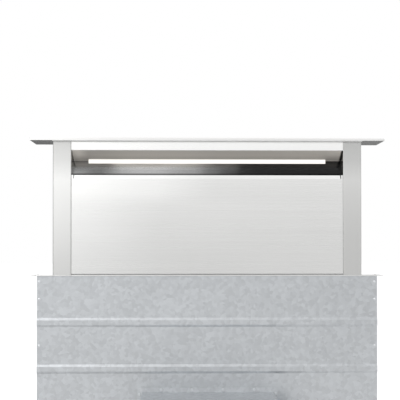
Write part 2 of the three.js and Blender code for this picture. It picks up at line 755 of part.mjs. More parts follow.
// Guide shoe: a block on the post, with two pads that run inside the rail.
function glideShoe() {
  const railBack = housingBack - SHEET - SEAM;
  const mouth = railBack - RAIL_DEPTH;
  const padBack = railBack - RAIL_SHEET - RUNNING;
  const half = RAIL_WIDTH / 2 - RAIL_SHEET - RUNNING;
  const front = SCREW_BACK + nutFlangeRadius + SHOE_GAP;
  const outline = [
    [postOuter + SEAM, front],
    [railX + half, front],
    [railX + half, padBack],
    [railX - half, padBack],
    [railX - half, mouth - 0.6],
    [postOuter + SEAM, mouth - 0.6],
  ];
  const bottom = SHOE_TOP - SHOE_LENGTH;
  const waist = block(
    railX - half - 1,
    mouth + 1,
    bottom + PAD_LENGTH,
    railX + half + 1,
    padBack + 1,
    SHOE_TOP - PAD_LENGTH,
  );
  return cut(alongZ(outline, bottom, SHOE_TOP), waist);
}

addPair("nut_bracket", nutBracket(), galvanised);
addPair("lift_nut", liftNut(), whiteNylon);
addPair("glide_shoe", glideShoe(), whiteNylon);

// ---------------------------------------------------------------- housing
function counterFlange() {
  const outline = rectangle(
    -housingHalf - FLANGE_RIM,
    housingFront - FLANGE_FRONT_RIM,
    housingHalf + FLANGE_RIM,
    housingBack + FLANGE_FRONT_RIM,
    2,
  );
  const rebate = rectangle(
    -housingHalf - SEAM,
    housingFront - SEAM,
    housingHalf + SEAM,
    housingBack + SEAM,
  );
  const window = rectangle(
    -postOuter - WINDOW_MARGIN,
    -WINDOW_MARGIN,
    postOuter + WINDOW_MARGIN,
    CHIMNEY_DEPTH + WINDOW_MARGIN,
    BEND,
  );
  return joined(
    alongZ(outline, 0, FLANGE_THICKNESS, [rebate]),
    alongZ(outline, FLANGE_REBATE, FLANGE_THICKNESS, [window]),
  );
}

// Rubber frame under the flange that wipes the chimney as it moves.
function wiperSeal() {
  const outer = HOUSING_CLEARANCE - SEAM;
  const grown = (by) =>
    rectangle(-postOuter - by, -by, postOuter + by, CHIMNEY_DEPTH + by, BEND + by);
  const bottom = housingTop - SEAL_THICKNESS;
  return alongZ(grown(outer), bottom, housingTop, [grown(SEAL_CLEARANCE)]);
}

// Wall sheet with pressed swages across it; side is -1 for the front and 1 for the back.
function wallOutline(face, side) {
  const points = [[face, housingTop]];
  SWAGE_LEVELS.forEach((level) => {
    points.push([face, level + SWAGE_FLAT]);
    points.push([face + side * SWAGE_DEPTH, level + SWAGE_FLANK]);
    points.push([face + side * SWAGE_DEPTH, level - SWAGE_FLANK]);
    points.push([face, level - SWAGE_FLAT]);
  });
  points.push([face, housingBottom]);
  return points.concat(offset(points, -side * SHEET).reverse());
}

function housingFrontSheet() {
  const window = rectangle(
    blowerLeft + BOX_WINDOW_INSET,
    blowerBottom + BOX_WINDOW_INSET,
    blowerRight - BOX_WINDOW_INSET,
    blowerTop - BOX_WINDOW_INSET,
    10,
  );
  return cut(
    alongX(wallOutline(housingFront, -1), -housingHalf, housingHalf),
    alongY(window, housingFront - 10, housingFront + 10),
  );
}

const housingRearSheet = () => alongX(wallOutline(housingBack, 1), -housingHalf, housingHalf);

function housingSide() {
  const front = housingFront + SHEET + SEAM;
  const back = housingBack - SHEET - SEAM;
  const edge = sideInner - RETURN_WIDTH;
  const face = [[edge, front], [housingHalf, front], [housingHalf, back], [edge, back]];
  return alongZ(folded(face, SHEET), housingBottom + SHEET + SEAM, housingTop);
}

// Floor of the housing, turned up on all four sides and holed for the lower bearings.
function bottomPan() {
  const front = housingFront + SHEET + SEAM;
  const back = housingBack - SHEET - SEAM;
  const outer = sideInner - SEAM;
  const wallEnd = outer - RETURN_WIDTH - 2;
  const floorTop = housingBottom + SHEET;
  const top = housingBottom + PAN_WALL;
  const end = block(outer - SHEET, front + 5, housingBottom, outer, back - 5, top);
  const pan = joined(
    block(-outer, front, housingBottom, outer, back, floorTop),
    block(-wallEnd, front, housingBottom, wallEnd, front + SHEET, top),
    block(-wallEnd, back - SHEET, housingBottom, wallEnd, back, top),
    end,
    mirrored(end),
  );
  const hole = circle(screwX, SCREW_BACK, NUT_BODY_RADIUS + SEAM, 24);
  const drill = alongZ(hole, housingBottom - 1, floorTop + 1);
  return cut(pan, drill, mirrored(drill));
}

function guideRail() {
  const back = housingBack - SHEET - SEAM;
  const mouth = back - RAIL_DEPTH;
  const left = railX - RAIL_WIDTH / 2;
  const right = railX + RAIL_WIDTH / 2;
  const face = [[left, mouth], [left, back], [right, back], [right, mouth]];
  const outline = face.concat(offset(face, -RAIL_SHEET).reverse());
  return alongZ(outline, SHOE_TOP - SHOE_LENGTH - travel - OVERRUN, RAIL_TOP);
}

// Bearing block on the side wall, round the screw's upper journal.
function topBearing() {
  const arc = Array.from({ length: 9 }, (_, i) => {
    const turn = Math.PI / 2 + (Math.PI * i) / 8;
    return [screwX + BEARING_RADIUS * Math.cos(turn), SCREW_BACK + BEARING_RADIUS * Math.sin(turn)];
  });
  const wall = sideInner - SEAM;
  const outline = [[wall, SCREW_BACK + BEARING_RADIUS], ...arc, [wall, SCREW_BACK - BEARING_RADIUS]];
  const bore = circle(screwX, SCREW_BACK, TOP_JOURNAL_RADIUS + RUNNING, 20);
  return alongZ(outline, BEARING_LEVEL, BEARING_LEVEL + BEARING_HEIGHT, [bore]);
}

// Flanged bush in the floor of the housing; the screw's collar stands on it.
const bushTop = housingBottom + BUSH_HEIGHT;
function lowerBearing() {
  const bore = JOURNAL_RADIUS + RUNNING;
  const seat = housingBottom - SEAM;
  const profile = [
    [bore, seat - BUSH_FLANGE],
    [nutFlangeRadius, seat - BUSH_FLANGE],
    [nutFlangeRadius, seat],
    [NUT_BODY_RADIUS, seat],
    [NUT_BODY_RADIUS, bushTop],
    [bore, bushTop],
    [bore, seat - BUSH_FLANGE],
  ];
  return turned(profile, screwX, SCREW_BACK);
}

add("counter_flange", counterFlange(), stainless);
add("wiper_seal", wiperSeal(), rubber);
add("housing_front", housingFrontSheet(), galvanised);
add("housing_rear", housingRearSheet(), galvanised);
addPair("housing_side", housingSide(), galvanised);
add("bottom_pan", bottomPan(), galvanised);
addPair("guide_rail", guideRail(), aluminium);
addPair("top_bearing", topBearing(), blackPlastic);
addPair("lower_bearing", lowerBearing(), whiteNylon);

// ---------------------------------------------------------------- lead screws and belt
const screwFoot = pulleyBottom - HUB_LENGTH + 3;
function leadScrew() {
  const threadTop = BEARING_LEVEL - SEAM;
  const threadBottom = nutLevel - NUT_BODY_LENGTH - travel - OVERRUN;
  const collarBottom = bushTop + SEAM;
  const profile = [
    [0, screwFoot],
    [JOURNAL_RADIUS, screwFoot],
    [JOURNAL_RADIUS, collarBottom],
    [THRUST_RADIUS, collarBottom],
    [THRUST_RADIUS, collarBottom + 5],
    [JOURNAL_RADIUS, collarBottom + 5],
    [JOURNAL_RADIUS, threadBottom],
    [SCREW_RADIUS, threadBottom + 2],
    [SCREW_RADIUS, threadTop],
    [TOP_JOURNAL_RADIUS, threadTop],
    [TOP_JOURNAL_RADIUS, threadTop + BEARING_HEIGHT - 1],
    [0, threadTop + BEARING_HEIGHT - 1],
  ];
  return turned(profile, screwX, SCREW_BACK, 16);
}

// Belt pulley, keyed on the screw's foot. The left one has a longer hub, whose stub is turned by
// the gearmotor below it.
function pulley(x, hubBottom, stub = []) {
  const rimBottom = beltBottom - BELT_PLAY;
  const profile = [
    ...stub,
    [HUB_RADIUS, hubBottom],
    [HUB_RADIUS, pulleyBottom],
    [PULLEY_FLANGE_RADIUS, pulleyBottom],
    [PULLEY_FLANGE_RADIUS, rimBottom],
    [PULLEY_RADIUS, rimBottom],
    [PULLEY_RADIUS, beltTop + BELT_PLAY],
    [PULLEY_FLANGE_RADIUS, beltTop + BELT_PLAY],
    [PULLEY_FLANGE_RADIUS, pulleyTop],
    [JOURNAL_RADIUS + SEAM, pulleyTop],
    [JOURNAL_RADIUS + SEAM, screwFoot - SEAM],
    [0, screwFoot - SEAM],
  ];
  return turned(profile, x, SCREW_BACK);
}

const plainHub = pulleyBottom - HUB_LENGTH;
const drivenHub = liftShelf + 4;
const stub = [
  [0, drivenHub - STUB_LENGTH],
  [STUB_RADIUS, drivenHub - STUB_LENGTH],
  [STUB_RADIUS, drivenHub],
];

function driveBelt() {
  const loop = (radius) =>
    [1, -1].flatMap((side) =>
      Array.from({ length: 13 }, (_, i) => {
        const turn = side * (-Math.PI / 2) + (Math.PI * i) / 12;
        return [side * screwX + radius * Math.cos(turn), SCREW_BACK + radius * Math.sin(turn)];
      }),
    );
  const inner = PULLEY_RADIUS + SEAM;
  return alongZ(loop(inner + BELT_THICKNESS), beltBottom, beltTop, [loop(inner)]);
}

addPair("lead_screw", leadScrew(), brightSteel);
add("right_pulley", pulley(screwX, plainHub, [[0, plainHub]]), aluminium);
add("left_pulley", pulley(-screwX, drivenHub, stub), aluminium);
add("drive_belt", driveBelt(), rubber);

// ---------------------------------------------------------------- lift gearmotor
function motorBracket() {
  const top = housingBottom - SEAM;
  const reach = GEARHEAD_RADIUS + LIFT_BRACKET_GAP;
  const front = SCREW_BACK - reach;
  const back = SCREW_BACK + reach;
  const face = [
    [front - LIFT_BRACKET_EAR, top],
    [front, top],
    [front, liftShelf],
    [back, liftShelf],
    [back, top],
    [back + LIFT_BRACKET_EAR, top],
  ];
  const outline = face.concat(offset(face, -LIFT_BRACKET_SHEET).reverse());
  const body = alongX(outline, -screwX - GEARHEAD_RADIUS - 0.5, -screwX + GEARHEAD_RADIUS + 0.5);
  const hole = circle(-screwX, SCREW_BACK, STUB_RADIUS + 5, 16);
  return cut(body, alongZ(hole, liftShelf - 5, liftShelf + 5));
}

function liftGearmotor() {
  const middle = gearheadTop - GEARHEAD_LENGTH;
  const bottom = liftMotorBottom;
  const bore = STUB_RADIUS + RUNNING;
  const boss = gearheadTop + LIFT_BRACKET_SHEET + 2.5;
  const profile = [
    [0, bottom],
    [6, bottom],
    [7, bottom + 3],
    [LIFT_MOTOR_RADIUS - 1, bottom + 3],
    [LIFT_MOTOR_RADIUS, bottom + 4],
    [LIFT_MOTOR_RADIUS, middle],
    [GEARHEAD_RADIUS, middle],
    [GEARHEAD_RADIUS, gearheadTop],
    [STUB_RADIUS + 3, gearheadTop],
    [STUB_RADIUS + 3, boss],
    [bore, boss],
    [bore, drivenHub - STUB_LENGTH - 3],
    [0, drivenHub - STUB_LENGTH - 3],
  ];
  return turned(profile, -screwX, SCREW_BACK, 24);
}

add("motor_bracket", motorBracket(), galvanised);
add("lift_gearmotor", liftGearmotor(), brightSteel);

// ---------------------------------------------------------------- blower
const outletTop = fanZ + scrollRadius(-1.5 * Math.PI);
const outletBottom = fanZ + cutoffRadius * Math.sin(cutoffAngle);
const outletEnd = blowerRight - SHEET - SEAM;
const outletMiddle = (outletTop + outletBottom) / 2;
const boxSleeve = (by) =>
  rectangle(
    blowerLeft - by,
    blowerBottom - by,
    blowerRight + by,
    blowerTop + by,
    Math.max(BEND + by, TIGHT_BEND),
  );

// A square sleeve with a flange round the housing's fan window.
function blowerBox() {
  const walls = alongY(boxSleeve(0), blowerFront, blowerBack, [boxSleeve(-SHEET)]);
  const flange = alongY(boxSleeve(BOX_FLANGE), blowerBack - SHEET, blowerBack, [boxSleeve(-SHEET)]);
  const outlet = rectangle(scrollFront, outletBottom, scrollBack, outletTop);
  return cut(joined(walls, flange), alongX(outlet, blowerRight - 10, blowerRight + 10));
}

function blowerCover() {
  const skin = boxSleeve(SEAM + SHEET);
  return joined(
    alongY(skin, coverFront, coverFront + SHEET),
    alongY(skin, coverFront, coverFront + COVER_SKIRT, [boxSleeve(SEAM)]),
  );
}

// Spiral outline of the scroll with its outlet to the right, inset by a wall thickness.
function scrollOutline(inset, end) {
  const steps = 24;
  const spiral = Array.from({ length: steps + 1 }, (_, i) => {
    const angle = cutoffAngle - (SCROLL_TURN * i) / steps;
    const radius = scrollRadius(angle) - inset;
    return [fanX + radius * Math.cos(angle), fanZ + radius * Math.sin(angle)];
  });
  return [...spiral, [end, outletTop - inset], [end, outletBottom + inset]];
}

// The scroll stands on two feet on the floor of its box.
function blowerScroll() {
  const outer = alongY(scrollOutline(0, outletEnd), scrollFront, scrollBack);
  const floor = blowerBottom + SHEET + SEAM;
  const footLeft = fanX - SCROLL_FOOT_LENGTH / 2;
  const footRight = fanX + SCROLL_FOOT_LENGTH / 2;
  const footTop = fanZ - cutoffRadius;
  const foot = (face, under) =>
    joined(
      block(footLeft, face, floor, footRight, face + SHEET, footTop),
      block(footLeft, under, floor, footRight, under + SCROLL_FOOT_FLANGE, floor + SHEET),
    );
  const room = scrollOutline(SHEET, outletEnd + 1);
  const inlet = circle(fanX, fanZ, FAN_INNER_RADIUS - INLET_LAP, 36);
  const shaftHole = circle(fanX, fanZ, FAN_SHAFT_RADIUS + 8, 20);
  return cut(
    joined(
      outer,
      foot(scrollFront, scrollFront),
      foot(scrollBack - SHEET, scrollBack - SCROLL_FOOT_FLANGE),
    ),
    alongY(room, scrollFront + SHEET, scrollBack - SHEET),
    alongY(inlet, scrollBack - 5, scrollBack + 5),
    alongY(shaftHole, scrollFront - 5, scrollFront + 5),
  );
}

// Turned and extruded fan pieces are drawn along z, then laid along y at the fan's axis.
const layFan = (geometry) =>
  geometry.applyMatrix4(basis(X.clone().negate(), Z, Y, new THREE.Vector3(fanX, fanBack, fanZ)));

// Forward-curved squirrel-cage wheel on its shaft.
function blowerImpeller() {
  const blade = new THREE.QuadraticBezierCurve(
    new THREE.Vector2(FAN_INNER_RADIUS, 0),
    new THREE.Vector2(FAN_INNER_RADIUS + 7, -6),
    new THREE.Vector2(FAN_RADIUS - 0.5, -3),
  );
  const camber = blade.getPoints(3).map((p) => [p.x, p.y]);
  const outline = camber.concat(offset(camber, BLADE_THICKNESS).reverse());
  const disc = turned([[0, 0], [FAN_RADIUS, 0], [FAN_RADIUS, FAN_DISC], [0, FAN_DISC]], 0, 0, 48);
  const ringProfile = [
    [FAN_INNER_RADIUS, FAN_WIDTH - FAN_RING],
    [FAN_RADIUS, FAN_WIDTH - FAN_RING],
    [FAN_RADIUS, FAN_WIDTH],
    [FAN_INNER_RADIUS, FAN_WIDTH],
    [FAN_INNER_RADIUS, FAN_WIDTH - FAN_RING],
  ];
  const shaftProfile = [
    [0, -SHAFT_BEHIND],
    [FAN_SHAFT_RADIUS, -SHAFT_BEHIND],
    [FAN_SHAFT_RADIUS, FAN_DISC / 2],
    [FAN_HUB_RADIUS, FAN_DISC / 2],
    [FAN_HUB_RADIUS - 2, FAN_HUB_LENGTH - 2],
    [FAN_SHAFT_RADIUS, FAN_HUB_LENGTH],
    [0, FAN_HUB_LENGTH],
  ];
  const blades = Array.from({ length: FAN_BLADES }, (_, i) =>
    alongZ(outline, FAN_DISC / 2, FAN_WIDTH - FAN_RING / 2).rotateZ((2 * Math.PI * i) / FAN_BLADES),
  );
  const ring = turned(ringProfile, 0, 0, 48);
  return layFan(joined(disc, ring, turned(shaftProfile, 0, 0, 16), ...blades));
}

// Fan motor: a flange on the scroll's front plate and a ribbed can.
function blowerMotor() {
  const flange = scrollFront - SEAM - fanBack;
  const can = flange - MOTOR_FLANGE;
  const end = flange - MOTOR_LENGTH;
  const pitch = (can - end) / MOTOR_RIBS;
  const root = MOTOR_RADIUS - 3;
  const profile = [[0, end], [root, end]];
  for (let i = 0; i < MOTOR_RIBS; i++) {
    const start = end + i * pitch;
    profile.push([root, start + 0.2 * pitch], [MOTOR_RADIUS, start + 0.3 * pitch]);
    profile.push([MOTOR_RADIUS, start + 0.7 * pitch], [root, start + 0.8 * pitch]);
  }
  const bore = FAN_SHAFT_RADIUS + RUNNING;
  const boreEnd = 2 - SHAFT_BEHIND - 4;
  profile.push([root, can], [MOTOR_RADIUS + 9, can], [MOTOR_RADIUS + 9, flange]);
  profile.push([bore, flange], [bore, boreEnd], [0, boreEnd]);
  return layFan(turned(profile, 0, 0, 24));
}

add("blower_box", blowerBox(), galvanised);
add("blower_cover", blowerCover(), galvanised);
add("blower_scroll", blowerScroll(), galvanised);
add("blower_impeller", blowerImpeller(), blackPlastic);
add("blower_motor", blowerMotor(), aluminium);

// ---------------------------------------------------------------- outlet collar and damper
const collarFace = blowerRight + SEAM;
const spindleX = blowerRight + FLAP_INSIDE;

// Round collar on a square plate, with the damper's upright spindle riveted across it.
function outletCollar() {
  const half = DUCT_RADIUS + COLLAR_MARGIN;
  const bore = circle(ductY, outletMiddle, DUCT_RADIUS, 36);
  const plate = rectangle(ductY - half, outletMiddle - half, ductY + half, outletMiddle + half, 4);
  const outer = circle(ductY, outletMiddle, DUCT_RADIUS + SHEET, 36);
  const reach = DUCT_RADIUS + SHEET / 2;
  return joined(
    alongX(plate, collarFace, collarFace + SHEET, [bore]),
    alongX(outer, collarFace, collarFace + COLLAR_LENGTH, [bore]),
    alongZ(circle(spindleX, ductY, SPINDLE_RADIUS, 10), outletMiddle - reach, outletMiddle + reach),
  );
}

// Half-round flap with a knuckle on the spindle: the front flap's is above the middle, and the
// rear flap's below it. side is -1 for the front and 1 for the rear.
function damperFlap(side) {
  const radius = DUCT_RADIUS - FLAP_CLEARANCE;
  const reach = Math.acos((KNUCKLE_RADIUS + SEAM) / radius);
  const arc = Array.from({ length: 21 }, (_, i) => {
    const turn = -reach + (2 * reach * i) / 20;
    return [ductY + side * radius * Math.cos(turn), outletMiddle + radius * Math.sin(turn)];
  });
  const half = FLAP_THICKNESS / 2;
  const low = outletMiddle + (side < 0 ? SEAM : -SEAM - KNUCKLE_LENGTH);
  const edge = ductY + side * (KNUCKLE_RADIUS + 2);
  const webEnds = [edge, ductY + side].sort((a, b) => a - b);
  const knuckle = (r) => circle(spindleX, ductY, r, 14);
  const body = joined(
    alongX(arc, spindleX - half, spindleX + half),
    alongZ(knuckle(KNUCKLE_RADIUS), low, low + KNUCKLE_LENGTH),
    block(spindleX - half, webEnds[0], low, spindleX + half, webEnds[1], low + KNUCKLE_LENGTH),
  );
  return cut(body, alongZ(knuckle(SPINDLE_RADIUS + RUNNING), low - 1, low + KNUCKLE_LENGTH + 1));
}

add("outlet_collar", outletCollar(), galvanised);
add("front_damper_flap", damperFlap(-1), galvanised);
add("rear_damper_flap", damperFlap(1), galvanised);

// ---------------------------------------------------------------- control box
const controlLeft = blowerLeft - BOX_FLANGE - CONTROL_GAP - CONTROL_WIDTH;
const controlBottom = housingBottom + CONTROL_ABOVE_FLOOR;
const controlBack = housingFront - SEAM;
const controlFront = controlBack - CONTROL_DEPTH;
const lidFront = controlFront - SEAM - SHEET;
const controlOutline = (by) =>
  rectangle(
    controlLeft - by,
    controlBottom - by,
    controlLeft + CONTROL_WIDTH + by,
    controlBottom + CONTROL_HEIGHT + by,
  );

// Tray on the housing with a cable gland below it.
function controlTray() {
  const walls = alongY(controlOutline(0), controlFront, controlBack, [controlOutline(-SHEET)]);
  const back = alongY(controlOutline(0), controlBack - SHEET, controlBack);
  const glandX = controlLeft + GLAND_INSET;
  const glandY = lidFront + LID_SKIRT + GLAND_GAP + GLAND_RADIUS;
  const bore = GLAND_RADIUS - 7.5;
  const end = controlBottom - GLAND_LENGTH;
  const profile = [
    [bore, end],
    [bore + 3, end],
    [bore + 5, end + 6],
    [bore + 5, controlBottom - 6],
    [GLAND_RADIUS, controlBottom - 6],
    [GLAND_RADIUS, controlBottom + SHEET / 2],
    [bore, controlBottom + SHEET / 2],
    [bore, end],
  ];
  const gland = turned(profile, glandX, glandY, 12);
  const passage = circle(glandX, glandY, bore - 0.2, 12);
  return cut(joined(walls, back, gland), alongZ(passage, controlBottom - 1, controlBottom + 3));
}

function controlLid() {
  const skin = controlOutline(SEAM + SHEET);
  return joined(
    alongY(skin, lidFront, lidFront + SHEET),
    alongY(skin, lidFront, lidFront + LID_SKIRT, [controlOutline(SEAM)]),
  );
}

add("control_box", controlTray(), galvanised);
add("control_box_lid", controlLid(), galvanised);

// ---------------------------------------------------------------- legs
const legInner = housingHalf + SEAM;
const legOuter = legInner + LEG_SHEET;

// Side leg: a slotted upright on the housing, and a foot turned inwards under it.
function leg() {
  const top = housingBottom + LEG_LAP;
  const flangeTop = footBottom + FOOT_FLANGE;
  const profile = [
    [-FOOT_REACH, footBottom],
    [capBack, footBottom],
    [capBack, flangeTop],
    [LEG_WIDTH, flangeTop + HEEL_RISE],
    [LEG_WIDTH, top],
    [0, top],
    [0, flangeTop + GUSSET_RISE],
    [-GUSSET_RUN, flangeTop],
    [-FOOT_REACH, flangeTop],
  ];
  const slots = LEG_SLOT_DROPS.map((drop) =>
    slot(LEG_WIDTH / 2, top - drop, LEG_SLOT, LEG_SLOT_WIDTH, 4),
  );
  const upright = alongX(profile, legInner, legOuter, slots);
  const foot = block(
    legOuter - FOOT_WIDTH,
    -FOOT_REACH,
    footBottom,
    legOuter,
    capBack,
    footBottom + LEG_SHEET,
  );
  return joined(upright, foot);
}

function footPad() {
  const inner = legOuter - FOOT_WIDTH;
  const outline = [
    [inner + 3, floorLevel],
    [legOuter - 3, floorLevel],
    [legOuter, floorLevel + 3],
    [legOuter, padTop],
    [inner, padTop],
    [inner, floorLevel + 3],
  ];
  return alongY(outline, -FOOT_REACH, capBack);
}

addPair("leg", leg(), galvanised);
addPair("foot_pad", footPad(), rubber);

// ---------------------------------------------------------------- finished vent
vent.position.set(0, -(coverFront + capBack) / 2, -floorLevel);
vent.name = "downdraft_vent";

export default vent;
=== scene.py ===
from math import ceil, cos, radians, sin, sqrt, tau

import bmesh
import bpy
from mathutils import Matrix, Vector


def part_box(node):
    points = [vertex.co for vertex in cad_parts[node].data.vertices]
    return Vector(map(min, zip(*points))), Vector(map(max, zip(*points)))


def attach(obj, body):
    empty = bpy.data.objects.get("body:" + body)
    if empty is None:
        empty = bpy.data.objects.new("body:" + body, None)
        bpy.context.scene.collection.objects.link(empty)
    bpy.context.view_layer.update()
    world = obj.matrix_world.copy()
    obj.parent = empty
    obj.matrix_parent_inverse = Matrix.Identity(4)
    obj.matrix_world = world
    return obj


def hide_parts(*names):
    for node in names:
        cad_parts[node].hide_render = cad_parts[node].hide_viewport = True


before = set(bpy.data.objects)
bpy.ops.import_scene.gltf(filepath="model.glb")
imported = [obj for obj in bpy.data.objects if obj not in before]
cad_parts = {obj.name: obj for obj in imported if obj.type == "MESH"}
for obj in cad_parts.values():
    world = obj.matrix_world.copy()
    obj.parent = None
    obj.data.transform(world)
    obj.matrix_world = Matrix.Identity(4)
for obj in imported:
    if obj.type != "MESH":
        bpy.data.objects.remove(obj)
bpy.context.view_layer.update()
mm = 0.001

# -------------------------------------------- camera and studio
# The camera stands where the photograph's did, 2 m in front of the posts and a little above the
# worktop flange. A pale floor, a white surround and two large soft lamps light the vent.
EYE = (-0.0528, -1.987, 0.0731)  # from the middle, the posts' front and the worktop, in metres
TILT, YAW = 90.567, -0.957  # degrees
FLOOR_RADIUS = 40
post_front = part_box("right_post")[0][1]
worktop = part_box("counter_flange")[0][2]
lens = bpy.data.cameras.new("camera")
lens.sensor_width = 36
lens.lens = 68.97
lens.shift_y = 0.10
camera = bpy.data.objects.new("camera", lens)
camera.location = (EYE[0], post_front + EYE[1], worktop + EYE[2])
camera.rotation_euler = (radians(TILT), 0, radians(YAW))
bpy.context.scene.collection.objects.link(camera)
bpy.context.scene.camera = camera
bpy.context.scene.view_settings.view_transform = "Standard"


def new_object(name, mesh, finish=None):
    """An object for a mesh that is already in its place."""
    made = bpy.data.objects.new(name, mesh)
    bpy.context.scene.collection.objects.link(made)
    if finish:
        mesh.materials.append(finish)
    return made


def new_material(name, **values):
    """A node material whose shader has these uniform values, with its node tree and shader."""
    made = bpy.data.materials.new(name)
    made.use_nodes = True
    shader = made.node_tree.nodes["Principled BSDF"]
    for socket, value in values.items():
        shader.inputs[socket.replace("_", " ")].default_value = value
    return made, made.node_tree, shader


def wire(tree, kind, settings=None, **inputs):
    """The first output of a new node, whose inputs are linked to outputs or set to values."""
    node = tree.nodes.new("ShaderNode" + kind)
    for key, value in (settings or {}).items():
        setattr(node, key, value)
    for socket, value in inputs.items():
        at = node.inputs[int(socket[1:]) if socket[1:].isdigit() else socket.replace("_", " ")]
        if isinstance(value, bpy.types.NodeSocket):
            tree.links.new(value, at)
        else:
            at.default_value = value
    return node.outputs[0]


def sums(tree, operation, a, b):
    """One step of arithmetic with two values of a material."""
    return wire(tree, "Math", {"operation": operation}, _0=a, _1=b)


def times(tree, first, *others):
    """The product of values of a material."""
    for other in others:
        first = sums(tree, "MULTIPLY", first, other)
    return first


def axes(tree, vector):
    """The x, y and z of a vector of a material."""
    split = tree.nodes.new("ShaderNodeSeparateXYZ")
    tree.links.new(vector, split.inputs[0])
    return split.outputs


def here(tree):
    """The place on the piece, in Object coordinates."""
    return tree.nodes.new("ShaderNodeTexCoord").outputs["Object"]


def spread(tree, value, low, high, ease=False, span=None):
    """Maps a value from one range to 0..1 or to the span, held at its ends."""
    start, end = span or (0.0, 1.0)
    settings = {"interpolation_type": "SMOOTHSTEP" if ease else "LINEAR"}
    limits = {"From_Min": low, "From_Max": high, "To_Min": start, "To_Max": end}
    return wire(tree, "MapRange", settings, Value=value, **limits)


def levels(tree, value, stops):
    """Brightness, at most 2, that runs between the stops (value, brightness)."""
    low, high = stops[0][0], stops[-1][0]
    shade = tree.nodes.new("ShaderNodeValToRGB")
    tree.links.new(spread(tree, value, low, high), shade.inputs[0])
    band = shade.color_ramp.elements
    for at, level in stops:
        place = (at - low) / (high - low)
        mark = band[0] if at == low else band[len(band) - 1] if at == high else band.new(place)
        mark.color = (level / 2, level / 2, level / 2, 1)
    return times(tree, shade.outputs[0], 2.0)


def rays(tree):
    """1 for camera rays, and 1 for rays that come by way of metal or glass."""
    path = tree.nodes.new("ShaderNodeLightPath")
    metal, glass = path.outputs["Is Glossy Ray"], path.outputs["Is Transmission Ray"]
    return path.outputs["Is Camera Ray"], sums(tree, "MAXIMUM", metal, glass)


def choose(tree, factor, plain, other):
    """plain where the factor is 0, and other where it is 1."""
    return wire(tree, "Mix", {"data_type": "FLOAT"}, Factor=factor, A=plain, B=other)


world = bpy.data.worlds.new("surround")
bpy.context.scene.world = world
world.use_nodes = True
tree = world.node_tree
camera_ray, mirror_ray = rays(tree)
# the metal mirrors walls whose brightness goes by direction: across, low down and higher up,
# then upwards, and darker high up behind the vent
x, y, z = axes(tree, wire(tree, "TexCoord"))
low_wall = [
    (-1, 0.42), (-0.6, 0.6), (-0.3, 1.55), (-0.16, 1.3), (-0.1, 0.95), (-0.05, 0.82),
    (0.15, 0.81), (0.3, 0.72), (1, 0.5),
]
high_wall = [
    (-1, 0.6), (-0.6, 0.8), (-0.3, 1.4), (-0.14, 1.15), (0, 0.96), (0.1, 1.0),
    (0.3, 1.05), (1, 0.7),
]
upward = [
    (-0.3, 0.72), (-0.04, 0.76), (0.03, 0.84), (0.085, 0.98), (0.13, 1.1),
    (0.25, 1.05), (0.4, 0.8), (0.68, 0.74), (0.8, 1.05), (1, 0.95),
]
walls = choose(
    tree, spread(tree, z, 0.09, 0.15), levels(tree, x, low_wall), levels(tree, x, high_wall)
)
behind = times(tree, spread(tree, y, -0.1, 0.25, True), spread(tree, z, 0.2, 0.45, True))
darker = spread(tree, behind, 0, 1, span=(1.0, 0.62))
studio = times(tree, walls, levels(tree, z, upward), darker)
# what isn't metal is lit evenly, and the camera sees plain white
lit = choose(tree, mirror_ray, 0.75, studio)
sky = tree.nodes["Background"]
sky.inputs["Color"].default_value = (1, 1, 1, 1)
tree.links.new(choose(tree, camera_ray, lit, 1.0), sky.inputs["Strength"])

pale, tree, shader = new_material("pale_floor", Roughness=0.9)
camera_ray, mirror_ray = rays(tree)
x, y, z = axes(tree, here(tree))
distance = [(-30, 0.7), (-14, 0.8), (-9, 1.0), (-5, 0.9), (4, 0.84), (7, 0.17), (14, 0.17)]
mirrored = levels(tree, y, distance)
mirrored = sums(tree, "ADD", mirrored, spread(tree, x, -2.5, 2.5, span=(-0.03, 0.04)))
tone = choose(tree, mirror_ray, 0.86, mirrored)
grey = wire(tree, "CombineColor", None, Red=tone, Green=tone, Blue=tone)
tree.links.new(grey, shader.inputs["Base Color"])
shader.inputs["Emission Color"].default_value = (1, 1, 1, 1)
tree.links.new(times(tree, camera_ray, 0.42), shader.inputs["Emission Strength"])
sheet = bmesh.new()
bmesh.ops.create_circle(sheet, cap_ends=True, segments=64, radius=FLOOR_RADIUS)
mesh = bpy.data.meshes.new("floor")
sheet.to_mesh(mesh)
sheet.free()
new_object("floor", mesh, pale)

aim = Vector((0, 0, 0.6))
for name, place, power in (("key", (-3.2, -3.0, 3.4), 70), ("fill", (3.4, 1.6, 3.0), 40)):
    lamp = bpy.data.lights.new(name, "AREA")
    lamp.shape = "SQUARE"
    lamp.size = 2.6
    lamp.energy = power
    stand = bpy.data.objects.new(name, lamp)
    stand.location = place
    stand.rotation_euler = (aim - Vector(place)).to_track_quat("-Z", "Y").to_euler()
    bpy.context.scene.collection.objects.link(stand)


# -------------------------------------------- cap and buttons
# The cap is a shallow tray of 1.2 mm brushed stainless, closed below by a plate with a bright
# rolled face. Four sprung buttons stand in it on the right, each with an inlaid sign.
def along(tree, place, axis, stops):
    """Brightness by the place along one axis, in metres."""
    return levels(tree, axes(tree, place)["XYZ".index(axis)], stops)


def scaled(tree, vector, factor):
    """A vector or a colour of a material, times a factor."""
    return wire(tree, "VectorMath", {"operation": "SCALE"}, _0=vector, Scale=factor)


ALONG, ACROSS = 1.2, 900  # how often the scratches change in a metre


